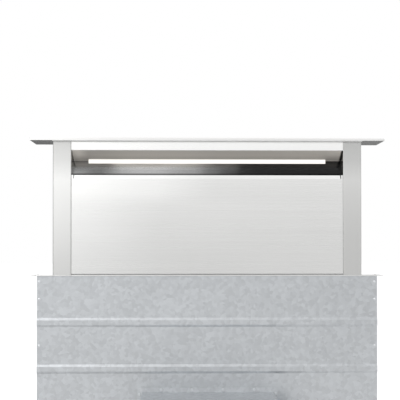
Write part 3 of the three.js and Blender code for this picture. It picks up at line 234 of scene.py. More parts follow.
def grained(name, colour, roughness, grain, contrast=0.05, shade=None):
    """Brushed or drawn metal: long fine scratches along the grain and a faint slow cloudiness."""
    made, tree, shader = new_material(name, Metallic=1.0)
    place = here(tree)
    stretch = [ALONG if axis in grain else ACROSS for axis in "XYZ"]
    fine = wire(tree, "Mapping", None, Vector=place, Scale=stretch)
    scratches = wire(tree, "TexNoise", None, Vector=fine, Scale=1.0, Detail=3.0)
    clouds = wire(tree, "TexNoise", None, Vector=place, Scale=3.2, Detail=2.0)
    lines = spread(tree, scratches, 0, 1, span=(1 - contrast, 1 + contrast))
    drift = spread(tree, clouds, 0.2, 0.8, span=(0.97, 1.03))
    tone = times(tree, lines, drift)
    if shade:
        tone = times(tree, tone, shade(tree, place))
    tint = scaled(tree, colour, tone)
    tree.links.new(tint, shader.inputs["Base Color"])
    rub = spread(tree, scratches, 0, 1, span=(roughness - 0.05, roughness + 0.05))
    tree.links.new(rub, shader.inputs["Roughness"])
    dents = wire(tree, "Bump", None, Height=scratches, Strength=0.15, Distance=0.00004)
    tree.links.new(dents, shader.inputs["Normal"])
    return made


def finish(material, *names):
    """Gives CAD pieces a material."""
    for name in names:
        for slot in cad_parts[name].material_slots:
            slot.material = material


def add(made, part, centre, direction=(0, 0, 1)):
    """Adds a part drawn about +Z, in mm, to a piece, in a direction and at a place in metres."""
    turn = Vector((0, 0, 1)).rotation_difference(Vector(direction)).to_matrix().to_4x4()
    bmesh.ops.remove_doubles(part, verts=part.verts, dist=1e-4)
    at = Matrix.Translation(centre) @ turn @ Matrix.Scale(mm, 4)
    bmesh.ops.transform(part, matrix=at, verts=part.verts)
    mesh = bpy.data.meshes.new("part")
    part.to_mesh(mesh)
    part.free()
    made.from_mesh(mesh)
    bpy.data.meshes.remove(mesh)


def piece(name, made, material, body="housing", bend=35):
    """Turns a bmesh into a piece of the vent that rides on a body."""
    bmesh.ops.remove_doubles(made, verts=made.verts, dist=1e-6)
    bmesh.ops.recalc_face_normals(made, faces=made.faces)
    mesh = bpy.data.meshes.new(name)
    made.to_mesh(mesh)
    made.free()
    mesh.shade_smooth()
    mesh.set_sharp_from_angle(angle=radians(bend))
    put = new_object(name, mesh, material)
    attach(put, body)
    return put


low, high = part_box("cap_shell")
# painted shade: the cap's front is darker in its lower part and full bright at its top edge
cap_edge_painted_shade = [(low[2], 0.84), (low[2] + 3 * mm, 0.84), (high[2] - 1.5 * mm, 1.0), (high[2], 1.0)]


def cap_painted_light(tree, place):
    """Painted shade and highlight: the cap's narrow front is darker low down and lighter at its
    top, a little brighter on the right.
    """
    left = along(tree, place, "X", [(-0.46, 0.97), (0, 0.9), (0.46, 0.84)])
    up = sums(tree, "MAXIMUM", along(tree, place, "Z", cap_edge_painted_shade), left)
    return times(tree, up, along(tree, place, "X", [(-0.46, 0.92), (0.46, 1.07)]))


finish(grained("cap_steel", (0.94, 0.94, 0.93), 0.24, "X", shade=cap_painted_light), "cap_shell")
finish(
    grained("button_steel", (0.88, 0.88, 0.87), 0.2, "X"),
    *(name + "_button" for name in ("power", "slower", "faster", "light")),
)


def plate_painted_shade(tree, place):
    """Painted shade: the rolled face is darker where it reaches past the posts."""
    ends = [(-0.46, 0.84), (-0.4, 0.86), (-0.395, 1.0), (0.395, 1.0), (0.4, 0.96), (0.46, 0.96)]
    return along(tree, place, "X", ends)


rolled_steel = grained("rolled_steel", (0.98, 0.98, 0.97), 0.1, "X", 0.02, plate_painted_shade)
finish(rolled_steel, "cap_underplate")


def over(material, mask, colour, roughness, metallic):
    """Lays another finish over a material where the mask is 1."""
    tree = material.node_tree
    shader = tree.nodes["Principled BSDF"]
    for socket, other in (("Base Color", colour), ("Roughness", roughness), ("Metallic", metallic)):
        # a mix node has its own sockets for each kind of value
        kind, first, out = ("RGBA", 6, 2) if socket == "Base Color" else ("FLOAT", 2, 0)
        mix = tree.nodes.new("ShaderNodeMix")
        mix.data_type = kind
        tree.links.new(mask, mix.inputs[0])
        place = shader.inputs[socket]
        plain = place.links[0].from_socket if place.links else place.default_value
        for at, value in ((first, plain), (first + 1, other)):
            if isinstance(value, bpy.types.NodeSocket):
                tree.links.new(value, mix.inputs[at])
            else:
                mix.inputs[at].default_value = value
        tree.links.new(mix.outputs[out], place)


# the plate's front strip, before the fascia, catches more light than it mirrors
tree = rolled_steel.node_tree
place = here(tree)
between = along(tree, place, "X", [(-0.402, 0), (-0.4, 1), (0.4, 1), (0.402, 0)])
before = along(tree, place, "Y", [(post_front, 1), (post_front + 1 * mm, 0)])
strip = times(tree, between, before)
over(rolled_steel, strip, (0.97, 0.97, 0.96, 1), 0.5, 0.0)

inlay, tree, shader = new_material("black_inlay", Roughness=0.5)
speck = wire(tree, "TexNoise", None, Vector=here(tree), Scale=4000.0)
tree.links.new(spread(tree, speck, 0.3, 0.7, span=(0.02, 0.05)), shader.inputs["Base Color"])

# arcs are (u, v, radius, from, to) in mm and degrees, and bars are (u, v, u, v)
signs = {
    "power": ([(0, 0, 2.9, 125, 415)], [(0, 1, 0, 3.6)]),
    "slower": ([], [(-2.9, 0, 2.9, 0)]),
    "faster": ([], [(-2.9, 0, 2.9, 0), (0, -2.9, 0, 2.9)]),
    "light": (
        [(0, 0.7, 2.3, -60, 240)],
        [
            (-1.15, -1.2, -1.15, -2.3), (1.15, -1.2, 1.15, -2.3),
            (-1.4, -2.5, 1.4, -2.5), (-0.8, -3.4, 0.8, -3.4),
        ],
    ),
}
STROKE, INLAY = 0.55, 0.02  # the width of a stroke and the thickness of the inlay, in mm
DISH, DISH_RADIUS = 0.25, 6.4  # the dish in a button's top, in mm
for name, (arcs, bars) in signs.items():
    sign = bmesh.new()
    for u, v, radius, start, end in arcs:
        spoke = Vector((cos(radians(start)), sin(radians(start)), 0))
        middle = Vector((u, v, 0)) + spoke * radius
        ends = [sign.verts.new(middle + spoke * side * STROKE / 2) for side in (-1, 1)]
        whole = [*ends, sign.edges.new(ends)]
        turn = radians(end - start)
        bmesh.ops.spin(sign, geom=whole, cent=(u, v, 0), axis=(0, 0, 1), angle=turn, steps=28)
    for u0, v0, u1, v1 in bars:
        side = Vector((v0 - v1, u1 - u0, 0)).normalized() * STROKE / 2
        ends = [sign.verts.new(Vector((u0, v0, 0)) + side * way) for way in (-1, 1)]
        drawn = bmesh.ops.extrude_edge_only(sign, edges=[sign.edges.new(ends)])["geom"]
        drawn = [v for v in drawn if isinstance(v, bmesh.types.BMVert)]
        bmesh.ops.translate(sign, vec=(u1 - u0, v1 - v0, 0), verts=drawn)
    for vert in sign.verts:
        vert.co.z = INLAY - DISH * (1 - min(vert.co.length / DISH_RADIUS, 1))
    bmesh.ops.recalc_face_normals(sign, faces=sign.faces)
    bmesh.ops.solidify(sign, geom=sign.faces[:], thickness=INLAY)
    low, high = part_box(name + "_button")
    made = bmesh.new()
    add(made, sign, ((low[0] + high[0]) / 2, (low[1] + high[1]) / 2, high[2]))
    piece(name + "_sign", made, inlay, name + "_button")

# -------------------------------------------- posts
# Two square tubes of 1.5 mm stainless, brushed lengthways, that carry the cap and everything
# between them. A pressed plug closes each one's foot.
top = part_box("right_post")[1][2]
# painted light along the tubes: darker up under the cap, with a painted highlight lower down
drawn = [
    (top - 349 * mm, 1.03), (top - 269 * mm, 1.08), (top - 150 * mm, 1.11),
    (top - 100 * mm, 1.13), (top - 49 * mm, 0.9), (top, 0.78),
]
# painted shade down the tubes' corners, and the right tube painted a little darker
corners = [
    (-0.4007, 0.6), (-0.3992, 1.0), (-0.3507, 1.0), (-0.3499, 0.6), (-0.349, 0.5),
    (0.349, 0.5), (0.3499, 0.62), (0.3507, 0.93), (0.4007, 0.925),
]


def post_painted_light(tree, place):
    """The tubes' painted light and shade along their length and round their corners, a little
    darker on the right.
    """
    return times(tree, along(tree, place, "Z", drawn), along(tree, place, "X", corners))


finish(
    grained("post_steel", (0.74, 0.74, 0.73), 0.22, "Z", shade=post_painted_light),
    "right_post", "left_post",
)

# -------------------------------------------- intake recess and lamp
# The strip under the cap and the recess's ceiling are folded from one sheet. The lamp's opal
# strip clips into an aluminium channel, and the face below it is mirror polished.
fascia_steel = grained("fascia_steel", (0.98, 0.98, 0.97), 0.24, "X")
finish(fascia_steel, "intake_fascia")
tree = fascia_steel.node_tree
place = here(tree)
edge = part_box("intake_fascia")[0][1] + 0.9 * mm  # where the strip turns back into the ceiling
inside = along(tree, place, "Y", [(edge, 0.0), (edge + 0.2 * mm, 1.0)])
# painted reflection and shade in the recess: its ceiling is a dull warm grey that stands for the
# worktop it mirrors, painted lighter near its ends, darker towards the back and nearly black at its
# very ends
ceiling = [
    (-0.353, 0.15), (-0.3512, 0.15), (-0.3506, 1.6), (-0.335, 1.55), (-0.31, 1.0), (0, 1.1),
    (0.31, 1.28), (0.335, 1.5), (0.3494, 1.6), (0.35, 0.06), (0.353, 0.04),
]
depth = along(tree, place, "Y", [(edge, 1.0), (edge + 16 * mm, 1.0), (edge + 30 * mm, 0.75)])
depth = times(tree, depth, along(tree, place, "X", ceiling))
painted_ceiling_reflection = scaled(tree, (0.47, 0.445, 0.41), depth)
over(fascia_steel, inside, painted_ceiling_reflection, 0.6, 0.3)

# the painted reflection across the polished face: bright on the left, nearly black on the right
polish_painted_reflection = [
    (-0.353, 0.38), (-0.33, 0.33), (-0.306, 0.32), (-0.275, 0.31), (-0.228, 0.72),
    (-0.15, 0.86), (-0.11, 0.81), (-0.02, 0.49), (0.04, 0.2), (0.085, 0.07), (0.13, 0.05),
    (0.24, 0.045), (0.353, 0.045),
]
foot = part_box("front_panel")[1][2]
# painted shade towards the polished face's foot, brighter higher up
fall_painted_shade = [
    (foot - 1 * mm, 0.12), (foot + 4 * mm, 0.15), (foot + 6 * mm, 0.5), (foot + 15 * mm, 0.55),
    (foot + 22 * mm, 0.95), (foot + 29 * mm, 1.5), (foot + 42 * mm, 1.4),
]
SMEAR = 0.08  # how far the smears move the painted reflection sideways, in metres


def polished_painted_reflection(tree, place):
    """The painted reflection on the polished face darkens from left to right and towards its foot,
    with slow smears in it. Only its left end is brighter at the foot, and bright where it shows
    past the panel's lip: a painted highlight."""
    smear = wire(tree, "TexNoise", None, Vector=place, Scale=14.0, Detail=1.0)
    smear = scaled(tree, smear, SMEAR)
    moved = wire(tree, "VectorMath", {"operation": "ADD"}, _0=place, _1=smear)
    across = along(tree, moved, "X", [(x + SMEAR / 2, level) for x, level in polish_painted_reflection])
    left = spread(tree, axes(tree, place)[0], -0.335, -0.295, True)
    corner = along(tree, place, "Z", [(foot + 10 * mm, 1.45), (foot + 26 * mm, 0.72)])
    up = times(tree, along(tree, place, "Z", fall_painted_shade), choose(tree, left, corner, 1.0))
    # a painted highlight where the left end shows past the panel's lip
    below = along(tree, place, "Z", [(foot - 1 * mm, 0.9), (foot - 0.3 * mm, 0.0)])
    below = times(tree, below, along(tree, place, "X", [(-0.34, 1.0), (-0.33, 0.0)]))
    return sums(tree, "MAXIMUM", times(tree, across, up), below)


finish(
    grained("mirror_steel", (1.0, 1.0, 1.0), 0.16, "X", 0.02, shade=polished_painted_reflection),
    "air_baffle",
)

opal, tree, shader = new_material(
    "opal_strip", Roughness=0.35, Emission_Color=(1.0, 0.965, 0.91, 1)
)
place = here(tree)
speck = wire(tree, "TexNoise", None, Vector=place, Scale=40.0)
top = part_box("led_diffuser")[1][2]
# painted shade: the strip glows less in its top 1.4 mm, under the channel's lip
edge = along(tree, place, "Z", [(top - 2.1 * mm, 1.0), (top - 1.4 * mm, 0.3), (top, 0.2)])
glow = times(tree, edge, spread(tree, speck, 0.3, 0.7, span=(0.74, 0.8)))
tree.links.new(glow, shader.inputs["Emission Strength"])
shader.inputs["Base Color"].default_value = (0.5, 0.49, 0.46, 1)
finish(opal, "led_diffuser")
finish(grained("channel_metal", (0.75, 0.76, 0.77), 0.4, "X"), "led_channel")


def drawn_out(part, faces, vec):
    """Draws faces of a part out into solid metal, or presses them in."""
    edges = dict.fromkeys(edge for face in faces for edge in face.edges)
    far = bmesh.ops.extrude_face_region(part, geom=[*faces, *edges])["geom"]
    bmesh.ops.translate(part, vec=vec, verts=[v for v in far if isinstance(v, bmesh.types.BMVert)])


# two folded blanks close the slot between the ceiling and the polished face beside the lamp
wall, deep, tall = 0.6, 5.6, 4.8
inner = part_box("led_channel")[1][0] + 0.2 * mm
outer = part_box("air_baffle")[1][0] - 2.5 * mm
section = [(0, 0, 0), (0, deep, 0), (0, deep, wall), (0, wall, wall), (0, wall, tall), (0, 0, tall)]
made = bmesh.new()
for start in (inner, -outer):
    blank = bmesh.new()
    face = blank.faces.new([blank.verts.new(corner) for corner in section])
    drawn_out(blank, [face], ((outer - inner) / mm, 0, 0))
    add(made, blank, (start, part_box("intake_fascia")[1][1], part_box("air_baffle")[1][2]))
blanks = piece("lamp_blanks", made, fascia_steel, "chimney")

# -------------------------------------------- front panel and chimney back
# The front panel is one sheet with folded sides and a leaned-back lip, hung on the posts' pins so
# that it tilts. The skirt below it and the rear panel are brushed the same way.
def panel_painted_light(tree, place):
    """The sheets' painted light and shade: their tone falls towards their foot and middle, with a
    painted highlight at the top left.
    """
    up = along(tree, place, "Z", [(0.69, 0.88), (0.8, 0.9), (1.0, 0.96), (1.05, 0.99)])
    across = along(tree, place, "X", [(-0.36, 1.03), (-0.12, 0.965), (0.1, 0.985), (0.36, 1.0)])
    # a painted highlight across the top left
    upper = [(-0.36, 1.04), (-0.13, 1.09), (-0.08, 1.04), (-0.02, 0.98), (0.02, 0.95), (0.36, 0.97)]
    painted_highlight_band = spread(tree, axes(tree, place)[2], 0.975, 1.02, True)
    return times(tree, up, across, choose(tree, painted_highlight_band, 1.0, along(tree, place, "X", upper)))


finish(
    grained("panel_steel", (0.93, 0.93, 0.92), 0.26, "X", 0.04, panel_painted_light),
    "front_panel", "front_skirt", "rear_panel", "filter_rail",
)


def turned(profile, steps, closed=False):
    """A part turned about +Z from a profile of (radius, height), in mm."""
    part = bmesh.new()
    marks = [part.verts.new((radius, 0, height)) for radius, height in profile]
    for pair in zip(marks, marks[1:] + marks[:1] if closed else marks[1:]):
        part.edges.new(pair)
    whole = [*marks, *part.edges]
    bmesh.ops.spin(part, geom=whole, axis=(0, 0, 1), angle=tau, steps=steps, use_merge=True)
    bmesh.ops.remove_doubles(part, verts=part.verts, dist=1e-4)
    return part


def cross_screw(made, centre, direction, radius, rise):
    """A low screw head, in mm, with a cross pressed into its top."""
    sides = 12
    dome = [(0, 0), (radius, 0), (radius, 0.45 * rise)]
    dome += [(0.86 * radius, 0.85 * rise), (0.7 * radius, rise)]
    part = turned(dome, sides)
    bmesh.ops.rotate(part, matrix=Matrix.Rotation(tau / sides / 2, 3, "Z"), verts=part.verts)
    at = Matrix.Translation((0, 0, rise))
    bmesh.ops.create_grid(part, x_segments=3, y_segments=3, size=0.45 * radius, matrix=at)
    squares = [face for face in part.faces if face.calc_center_median().z > 0.99 * rise]
    cross = [face for face in squares if min(abs(c) for c in face.calc_center_median().xy) < 0.01]
    drawn_out(part, cross, (0, 0, -0.75 * rise))
    bmesh.ops.bridge_loops(part, edges=[edge for edge in part.edges if edge.is_boundary])
    add(made, part, centre, direction)


screw_steel = grained("screw_steel", (0.8, 0.8, 0.79), 0.25, "Z", 0.03)
low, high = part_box("rear_panel")
made = bmesh.new()
for side in (-1, 1):
    for level in (0.76, 0.88, 1.0, 1.12):
        cross_screw(made, (side * (high[0] - 9 * mm), high[1], level), (0, 1, 0), 3.4, 1.6)
piece("rear_panel_screws", made, screw_steel, "chimney")

# -------------------------------------------- filters
# Two aluminium cassettes. Layers of expanded mesh lie over the folded core, inside a frame that
# is riveted at its corners.
mesh_metal = grained("filter_mesh", (0.78, 0.79, 0.8), 0.38, "X")
tree = mesh_metal.node_tree
shader = tree.nodes["Principled BSDF"]
x, y, z = axes(tree, here(tree))
across = times(tree, x, 1 / (6.0 * mm))
up = times(tree, z, 1 / (3.2 * mm))
strands = [
    sums(tree, "PINGPONG", sums(tree, operation, across, up), 0.5)
    for operation in ("ADD", "SUBTRACT")
]
strand = spread(tree, sums(tree, "MINIMUM", *strands), 0.08, 0.16)
low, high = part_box("right_filter")
FRAME, FADE = 14 * mm, 0.4 * mm


def within(tree, value, start, end):
    """1 inside the frame's opening, between a start and an end of the cassette."""
    opens = spread(tree, value, start + FRAME - FADE, start + FRAME)
    return times(tree, opens, spread(tree, value, end - FRAME, end - FRAME - FADE))


width = within(tree, sums(tree, "ABSOLUTE", x, 0), low[0], high[0])
holes = times(tree, strand, times(tree, width, within(tree, z, low[2], high[2])))
plain = shader.inputs["Base Color"].links[0].from_socket
shaded = scaled(tree, plain, spread(tree, holes, 0, 1, span=(1.0, 0.3)))
tree.links.new(shaded, shader.inputs["Base Color"])
raised = wire(tree, "Bump", {"invert": True}, Height=holes, Strength=0.6, Distance=0.0004)
tree.links.new(raised, shader.inputs["Normal"])
finish(mesh_metal, "right_filter", "left_filter")


def rivet(made, centre, direction, radius=3.2):
    """A blind rivet's head, in mm, with the end of its pin in the middle."""
    steps = [(0, 0), (1, 0), (0.97, 0.1), (0.7, 0.3), (0.42, 0.34), (0.38, 0.18), (0, 0.18)]
    add(made, turned([(r * radius, h * radius) for r, h in steps], 14), centre, direction)


made = bmesh.new()
half = FRAME / 2
for side in (-1, 1):
    for inset in (low[0] + half, high[0] - half):
        for level in (low[2] + half, high[2] - half):
            rivet(made, (side * inset, low[1] + 7 * mm, level), (0, -1, 0), 2.6)
piece("filter_rivets", made, mesh_metal, "chimney")

# -------------------------------------------- lift carriage
# A galvanised crossbar ties the posts' feet. A bracket on each post holds the nylon lift nut,
# and a nylon shoe behind it runs in the guide rail.
def zinc_sheet(name, colour, roughness=0.42, cells=120.0):
    """Hot-dip galvanised sheet: crystals of slightly different tone and gloss, and faint clouds."""
    made, tree, shader = new_material(name, Metallic=1.0)
    place = here(tree)
    bent = wire(tree, "TexNoise", None, Vector=place, Scale=cells, Detail=2.0)
    bent = scaled(tree, bent, 0.5 / cells)
    bent = wire(tree, "VectorMath", {"operation": "ADD"}, _0=place, _1=bent)
    crystals = tree.nodes.new("ShaderNodeTexVoronoi")
    tree.links.new(bent, crystals.inputs["Vector"])
    crystals.inputs["Scale"].default_value = cells
    split = tree.nodes.new("ShaderNodeSeparateColor")
    tree.links.new(crystals.outputs["Color"], split.inputs[0])
    clouds = wire(tree, "TexNoise", None, Vector=place, Scale=5.0, Detail=3.0)
    drift = spread(tree, clouds, 0.2, 0.8, span=(0.96, 1.04))
    tone = times(tree, spread(tree, split.outputs[0], 0, 1, span=(0.9, 1.05)), drift)
    tint = scaled(tree, colour, tone)
    tree.links.new(tint, shader.inputs["Base Color"])
    gloss = spread(tree, split.outputs[1], 0, 1, span=(roughness - 0.05, roughness + 0.07))
    tree.links.new(gloss, shader.inputs["Roughness"])
    relief = wire(tree, "Bump", None, Height=split.outputs[2], Strength=0.12, Distance=0.0002)
    tree.links.new(relief, shader.inputs["Normal"])
    return made


def moulded(name, colour, roughness, lift=0.3, grain=1400.0, **values):
    """Moulded plastic or rubber: a fine spark-eroded grain and a slow change of tone."""
    made, tree, shader = new_material(name, **values)
    place = here(tree)
    fine = wire(tree, "TexNoise", None, Vector=place, Scale=grain, Detail=2.0)
    slow = wire(tree, "TexNoise", None, Vector=place, Scale=30.0, Detail=2.0)
    tone = spread(tree, slow, 0.2, 0.8, span=(1 - lift, 1 + lift))
    tree.links.new(scaled(tree, colour, tone), shader.inputs["Base Color"])
    gloss = spread(tree, fine, 0.2, 0.8, span=(roughness - 0.07, roughness + 0.07))
    tree.links.new(gloss, shader.inputs["Roughness"])
    dimples = wire(tree, "Bump", None, Height=fine, Strength=0.25, Distance=0.0001)
    tree.links.new(dimples, shader.inputs["Normal"])
    return made


finish(
    zinc_sheet("carriage_zinc", (0.62, 0.64, 0.66)),
    "carriage_crossbar", "right_nut_bracket", "left_nut_bracket",
)
natural_nylon = moulded("natural_nylon", (0.82, 0.79, 0.71), 0.42, 0.03, Subsurface_Weight=0.1)
finish(natural_nylon, "right_lift_nut", "left_lift_nut", "right_glide_shoe", "left_glide_shoe")


def hex_screw(made, centre, direction, across=8, washer=None):
    """A flanged hexagon screw head, in mm, dished on top, or a plain one on a washer."""
    corner = across / sqrt(3)
    flange = washer or 0.62 * across
    under = [(0, 0), (flange, 0), (flange, 0.9), (0.9 * flange, 1.2), (0, 1.2)]
    add(made, turned(under, 20), centre, direction)
    head = [(0, 0.6), (corner, 0.6), (corner, 0.5 * across), (0.88 * corner, 0.58 * across)]
    head += [(0.62 * corner, 0.58 * across), (0.5 * corner, 0.46 * across), (0, 0.46 * across)]
    add(made, turned(head, 6), centre, direction)


zinc_screws = grained("zinc_screws", (0.74, 0.76, 0.78), 0.3, "Z", 0.04)
low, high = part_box("right_nut_bracket")
made = bmesh.new()
for side in (-1, 1):
    for back in (8, 20):
        at = (side * (low[0] + 2.5 * mm), low[1] + back * mm, high[2] - 7 * mm)
        cross_screw(made, at, (side, 0, 0), 3.2, 1.6)
piece("carriage_screws", made, zinc_screws, "chimney")

# -------------------------------------------- worktop flange and housing
# A stainless flange with low-headed screws lies on the worktop over a rubber wiper. The housing
# hangs below it: front and rear sheets with pressed swages, riveted to folded sides and a pan.
finish(grained("flange_steel", (0.9, 0.9, 0.89), 0.24, "X"), "counter_flange")
low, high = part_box("counter_flange")
made = bmesh.new()
for side in (-1, 1):
    for back in (14, 54):
        at = (side * (high[0] - 8 * mm), low[1] + back * mm, high[2])
        cross_screw(made, at, (0, 0, 1), 3.4, 0.9)
piece("flange_screws", made, screw_steel)

black_rubber = moulded("black_rubber", (0.022, 0.022, 0.022), 0.72, 0.25)
finish(black_rubber, "wiper_seal", "drive_belt")
housing_zinc = zinc_sheet("housing_zinc", (0.6, 0.62, 0.64))
finish(housing_zinc, "housing_front", "housing_rear", "bottom_pan")
finish(housing_zinc, "right_housing_side", "left_housing_side")

low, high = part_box("housing_front")
swage = 3 * mm
edge_levels = (0.215, 0.3, 0.385, 0.47, 0.62, 0.74, 0.785)
foot_places = (-0.412, -0.32, -0.21, -0.1, 0, 0.1, 0.21, 0.275, 0.34, 0.412)
made = bmesh.new()
for face, side in ((low[1] + swage, -1), (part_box("housing_rear")[1][1] - swage, 1)):
    for x in (low[0] + 6 * mm, high[0] - 6 * mm):
        for z in edge_levels:
            rivet(made, (x, face, z), (0, side, 0))
    for x in foot_places:
        # the front's foot has no rivets behind the control box and the blower
        if side > 0 or abs(x) > 0.4 or x > 0.2:
            rivet(made, (x, face, low[2] + 8 * mm), (0, side, 0))
piece("housing_rivets", made, zinc_screws)

# -------------------------------------------- lead screws, rails and bearings
# Four-start trapezoid screws with a lead of 20 mm, rolled from bright bar, turn in nylon bushes
# and glass-filled bearing blocks beside the aluminium guide rails.
turned_steel = grained("turned_steel", (0.72, 0.72, 0.71), 0.24, "XY", 0.08)
finish(grained("guide_metal", (0.74, 0.75, 0.76), 0.36, "Z"), "right_guide_rail", "left_guide_rail")
finish(moulded("black_nylon", (0.028, 0.028, 0.03), 0.45), "right_top_bearing", "left_top_bearing")
finish(natural_nylon, "right_lower_bearing", "left_lower_bearing")


def in_mm(box):
    """The low and the high corner of a box, in mm."""
    return (Vector(corner) / mm for corner in box)


def threaded(low, high):
    """A four-start right-handed thread between two levels, in mm, with run-outs at its ends."""
    part = bmesh.new()
    lead, pitch, crest, root, shaft, fade, steps = 20, 5, 5.95, 4.75, 5.45, 3, 24
    marks = []
    for start in range(4):
        for rise, radius in ((0, crest), (1.25, crest), (2.5, root), (3.75, root)):
            marks.append(part.verts.new((radius, 0, low - lead + start * pitch + rise)))
    marks.append(part.verts.new((crest, 0, low)))
    for pair in zip(marks, marks[1:]):
        part.edges.new(pair)
    turns = ceil((high - low) / lead) + 1
    climb = (0, 0, lead / steps)
    bmesh.ops.spin(
        part, geom=[*marks, *part.edges], axis=(0, 0, 1), dvec=climb, angle=tau * turns,
        steps=steps * turns,
    )
    bmesh.ops.remove_doubles(part, verts=part.verts, dist=1e-3)
    for level, way in ((low, -1), (high, 1)):
        whole = [*part.verts, *part.edges, *part.faces]
        bmesh.ops.bisect_plane(
            part, geom=whole, plane_co=(0, 0, level), plane_no=(0, 0, way), clear_outer=True
        )
    for vert in part.verts:
        deep = max(0, min(1, (vert.co.z - low) / fade, (high - vert.co.z) / fade))
        radius = vert.co.xy.length
        vert.co.xy *= (shaft + (radius - shaft) * deep) / radius
    bmesh.ops.holes_fill(part, edges=part.edges[:])
    return part


for side in ("right", "left"):
    name = side + "_lead_screw"
    low, high = in_mm(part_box(name))
    x, y = (low[0] + high[0]) / 2 * mm, (low[1] + high[1]) / 2 * mm
    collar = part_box("right_lower_bearing")[1][2] / mm + 0.3
    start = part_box("right_guide_rail")[0][2] / mm + 1.5
    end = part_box("right_top_bearing")[0][2] / mm - 0.3
    made = bmesh.new()
    shank = [(0, low[2]), (4.6, low[2]), (5, low[2] + 0.5), (5, collar), (8.6, collar)]
    shank += [(9, collar + 0.4), (9, collar + 4.6), (8.6, collar + 5), (5, collar + 5)]
    shank += [(5, start + 0.5), (0, start + 0.5)]
    add(made, turned(shank, 48), (x, y, 0))
    add(made, threaded(start, end), (x, y, 0))
    journal = [(0, end - 0.5), (4, end - 0.5), (4, high[2] - 0.6), (3.4, high[2]), (0, high[2])]
    add(made, turned(journal, 32), (x, y, 0))
    screw = piece(side + "_threaded_screw", made, turned_steel, side + "_screw", 30)
    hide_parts(name)

low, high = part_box("right_top_bearing")
made = bmesh.new()
for side in (-1, 1):
    for back in (4, 16):
        at = (side * (high[0] - 5 * mm), low[1] + back * mm, low[2])
        cross_screw(made, at, (0, 0, -1), 2.4, 1.4)
    for level in (340, 550, 765):
        x = side * (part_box("right_guide_rail")[0][0] + 6.5 * mm)
        rivet(made, (x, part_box("right_guide_rail")[1][1] - 1.5 * mm, level * mm), (0, -1, 0), 1.6)
piece("bearing_screws", made, zinc_screws)

# -------------------------------------------- pulleys and belt
# A 5 mm pitch toothed belt under the floor ties the screws. Each aluminium pulley has eighteen
# teeth between two flanges, and a set screw in its hub.
TEETH, HUB, FLANGE, BORE = 18, 9, 16, 5.3  # the teeth, and three radii in mm
pulley_metal = grained("pulley_metal", (0.7, 0.71, 0.72), 0.32, "XY", 0.06)
belt_low, belt_high = in_mm(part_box("drive_belt"))
for side in ("right", "left"):
    name = side + "_pulley"
    low, high = in_mm(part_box(name))
    x, y = (low[0] + high[0]) / 2, (low[1] + high[1]) / 2
    at = Vector((x, y, 0)) * mm
    rim = bmesh.new()
    marks = []
    for step, radius in ((0, 12.5), (0.25, 12.5), (0.42, 13.65), (0.83, 13.65), (1, 12.5)):
        turn = tau * step / TEETH
        marks.append(rim.verts.new((radius * cos(turn), radius * sin(turn), belt_low[2] - 1)))
    for pair in zip(marks, marks[1:]):
        rim.edges.new(pair)
    whole = [*marks, *rim.edges]
    bmesh.ops.spin(rim, geom=whole, axis=(0, 0, 1), angle=tau, steps=TEETH, use_duplicate=True)
    bmesh.ops.remove_doubles(rim, verts=rim.verts, dist=1e-3)
    outline = bmesh.ops.contextual_create(rim, geom=rim.edges[:])["faces"]
    drawn_out(rim, outline, (0, 0, belt_high[2] - belt_low[2] + 2))
    made = bmesh.new()
    add(made, rim, at)
    foot = belt_low[2] - 2.5
    bottom = foot - 7 if side == "right" else low[2] + 16
    lower = [(0, bottom), (HUB - 0.6, bottom), (HUB, bottom + 0.6), (HUB, foot)]
    lower += [(FLANGE - 0.4, foot), (FLANGE, foot + 0.4), (FLANGE, foot + 1.6)]
    lower += [(FLANGE - 0.8, foot + 2), (BORE, foot + 2), (BORE, foot + 0.5), (0, foot + 0.5)]
    add(made, turned(lower, 48), at)
    top = belt_high[2] + 2.5
    upper = [(BORE, top), (BORE, top - 2), (FLANGE - 0.8, top - 2), (FLANGE, top - 1.6)]
    upper += [(FLANGE, top - 0.4), (FLANGE - 0.4, top)]
    add(made, turned(upper, 48, True), at)
    if side == "left":  # the gearmotor's shaft turns this one
        stub = [(0, low[2]), (2.6, low[2]), (3, low[2] + 0.4), (3, bottom + 0.5), (0, bottom + 0.5)]
        add(made, turned(stub, 24), at)
    set_screw = [(0, -0.4), (1.8, -0.4), (1.8, 0.3), (1, 0.3), (0.9, 0.1), (0, 0.1)]
    add(made, turned(set_screw, 12), Vector((x, y - HUB, foot - 3.5)) * mm, (0, -1, 0))
    wheel = piece(side + "_toothed_pulley", made, pulley_metal, side + "_screw", 30)
    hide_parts(name)

# the belt's two straight runs carry teeth on their inner faces
PITCH, BAND, RUN_TEETH = 5.0, 1.6, 164  # the pitch and the band's thickness in mm, and a count
made = bmesh.new()
for y, inward in ((belt_low[1] + BAND, 1), (belt_high[1] - BAND, -1)):
    teeth = bmesh.new()
    outline = ((-1.3, 0), (1.3, 0), (0.7, 1.1), (-0.7, 1.1))
    corners = [(u, inward * (v - 0.05), 0) for u, v in outline]
    tooth = teeth.faces.new([teeth.verts.new(corner) for corner in corners])
    drawn_out(teeth, [tooth], (0, 0, belt_high[2] - belt_low[2]))
    whole = [*teeth.verts, *teeth.edges, *teeth.faces]
    bmesh.ops.spin(
        teeth, geom=whole, axis=(0, 0, 1), dvec=(PITCH, 0, 0), angle=0, steps=RUN_TEETH,
        use_duplicate=True,
    )
    add(made, teeth, Vector((-RUN_TEETH / 2 * PITCH, y, belt_low[2])) * mm)
teeth = piece("belt_teeth", made, black_rubber)

# -------------------------------------------- lift gearmotor
# A direct-current gearmotor hangs from a folded bracket under the left screw. Its can is drawn
# steel with a crimped end and two terminals.
finish(zinc_sheet("bracket_zinc", (0.6, 0.62, 0.64)), "motor_bracket")
can_steel = grained("can_steel", (0.66, 0.66, 0.66), 0.28, "Z", 0.06)
finish(can_steel, "lift_gearmotor")
low, high = in_mm(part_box("lift_gearmotor"))
x, y = (low[0] + high[0]) / 2, (low[1] + high[1]) / 2
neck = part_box("motor_bracket")[0][2] / mm
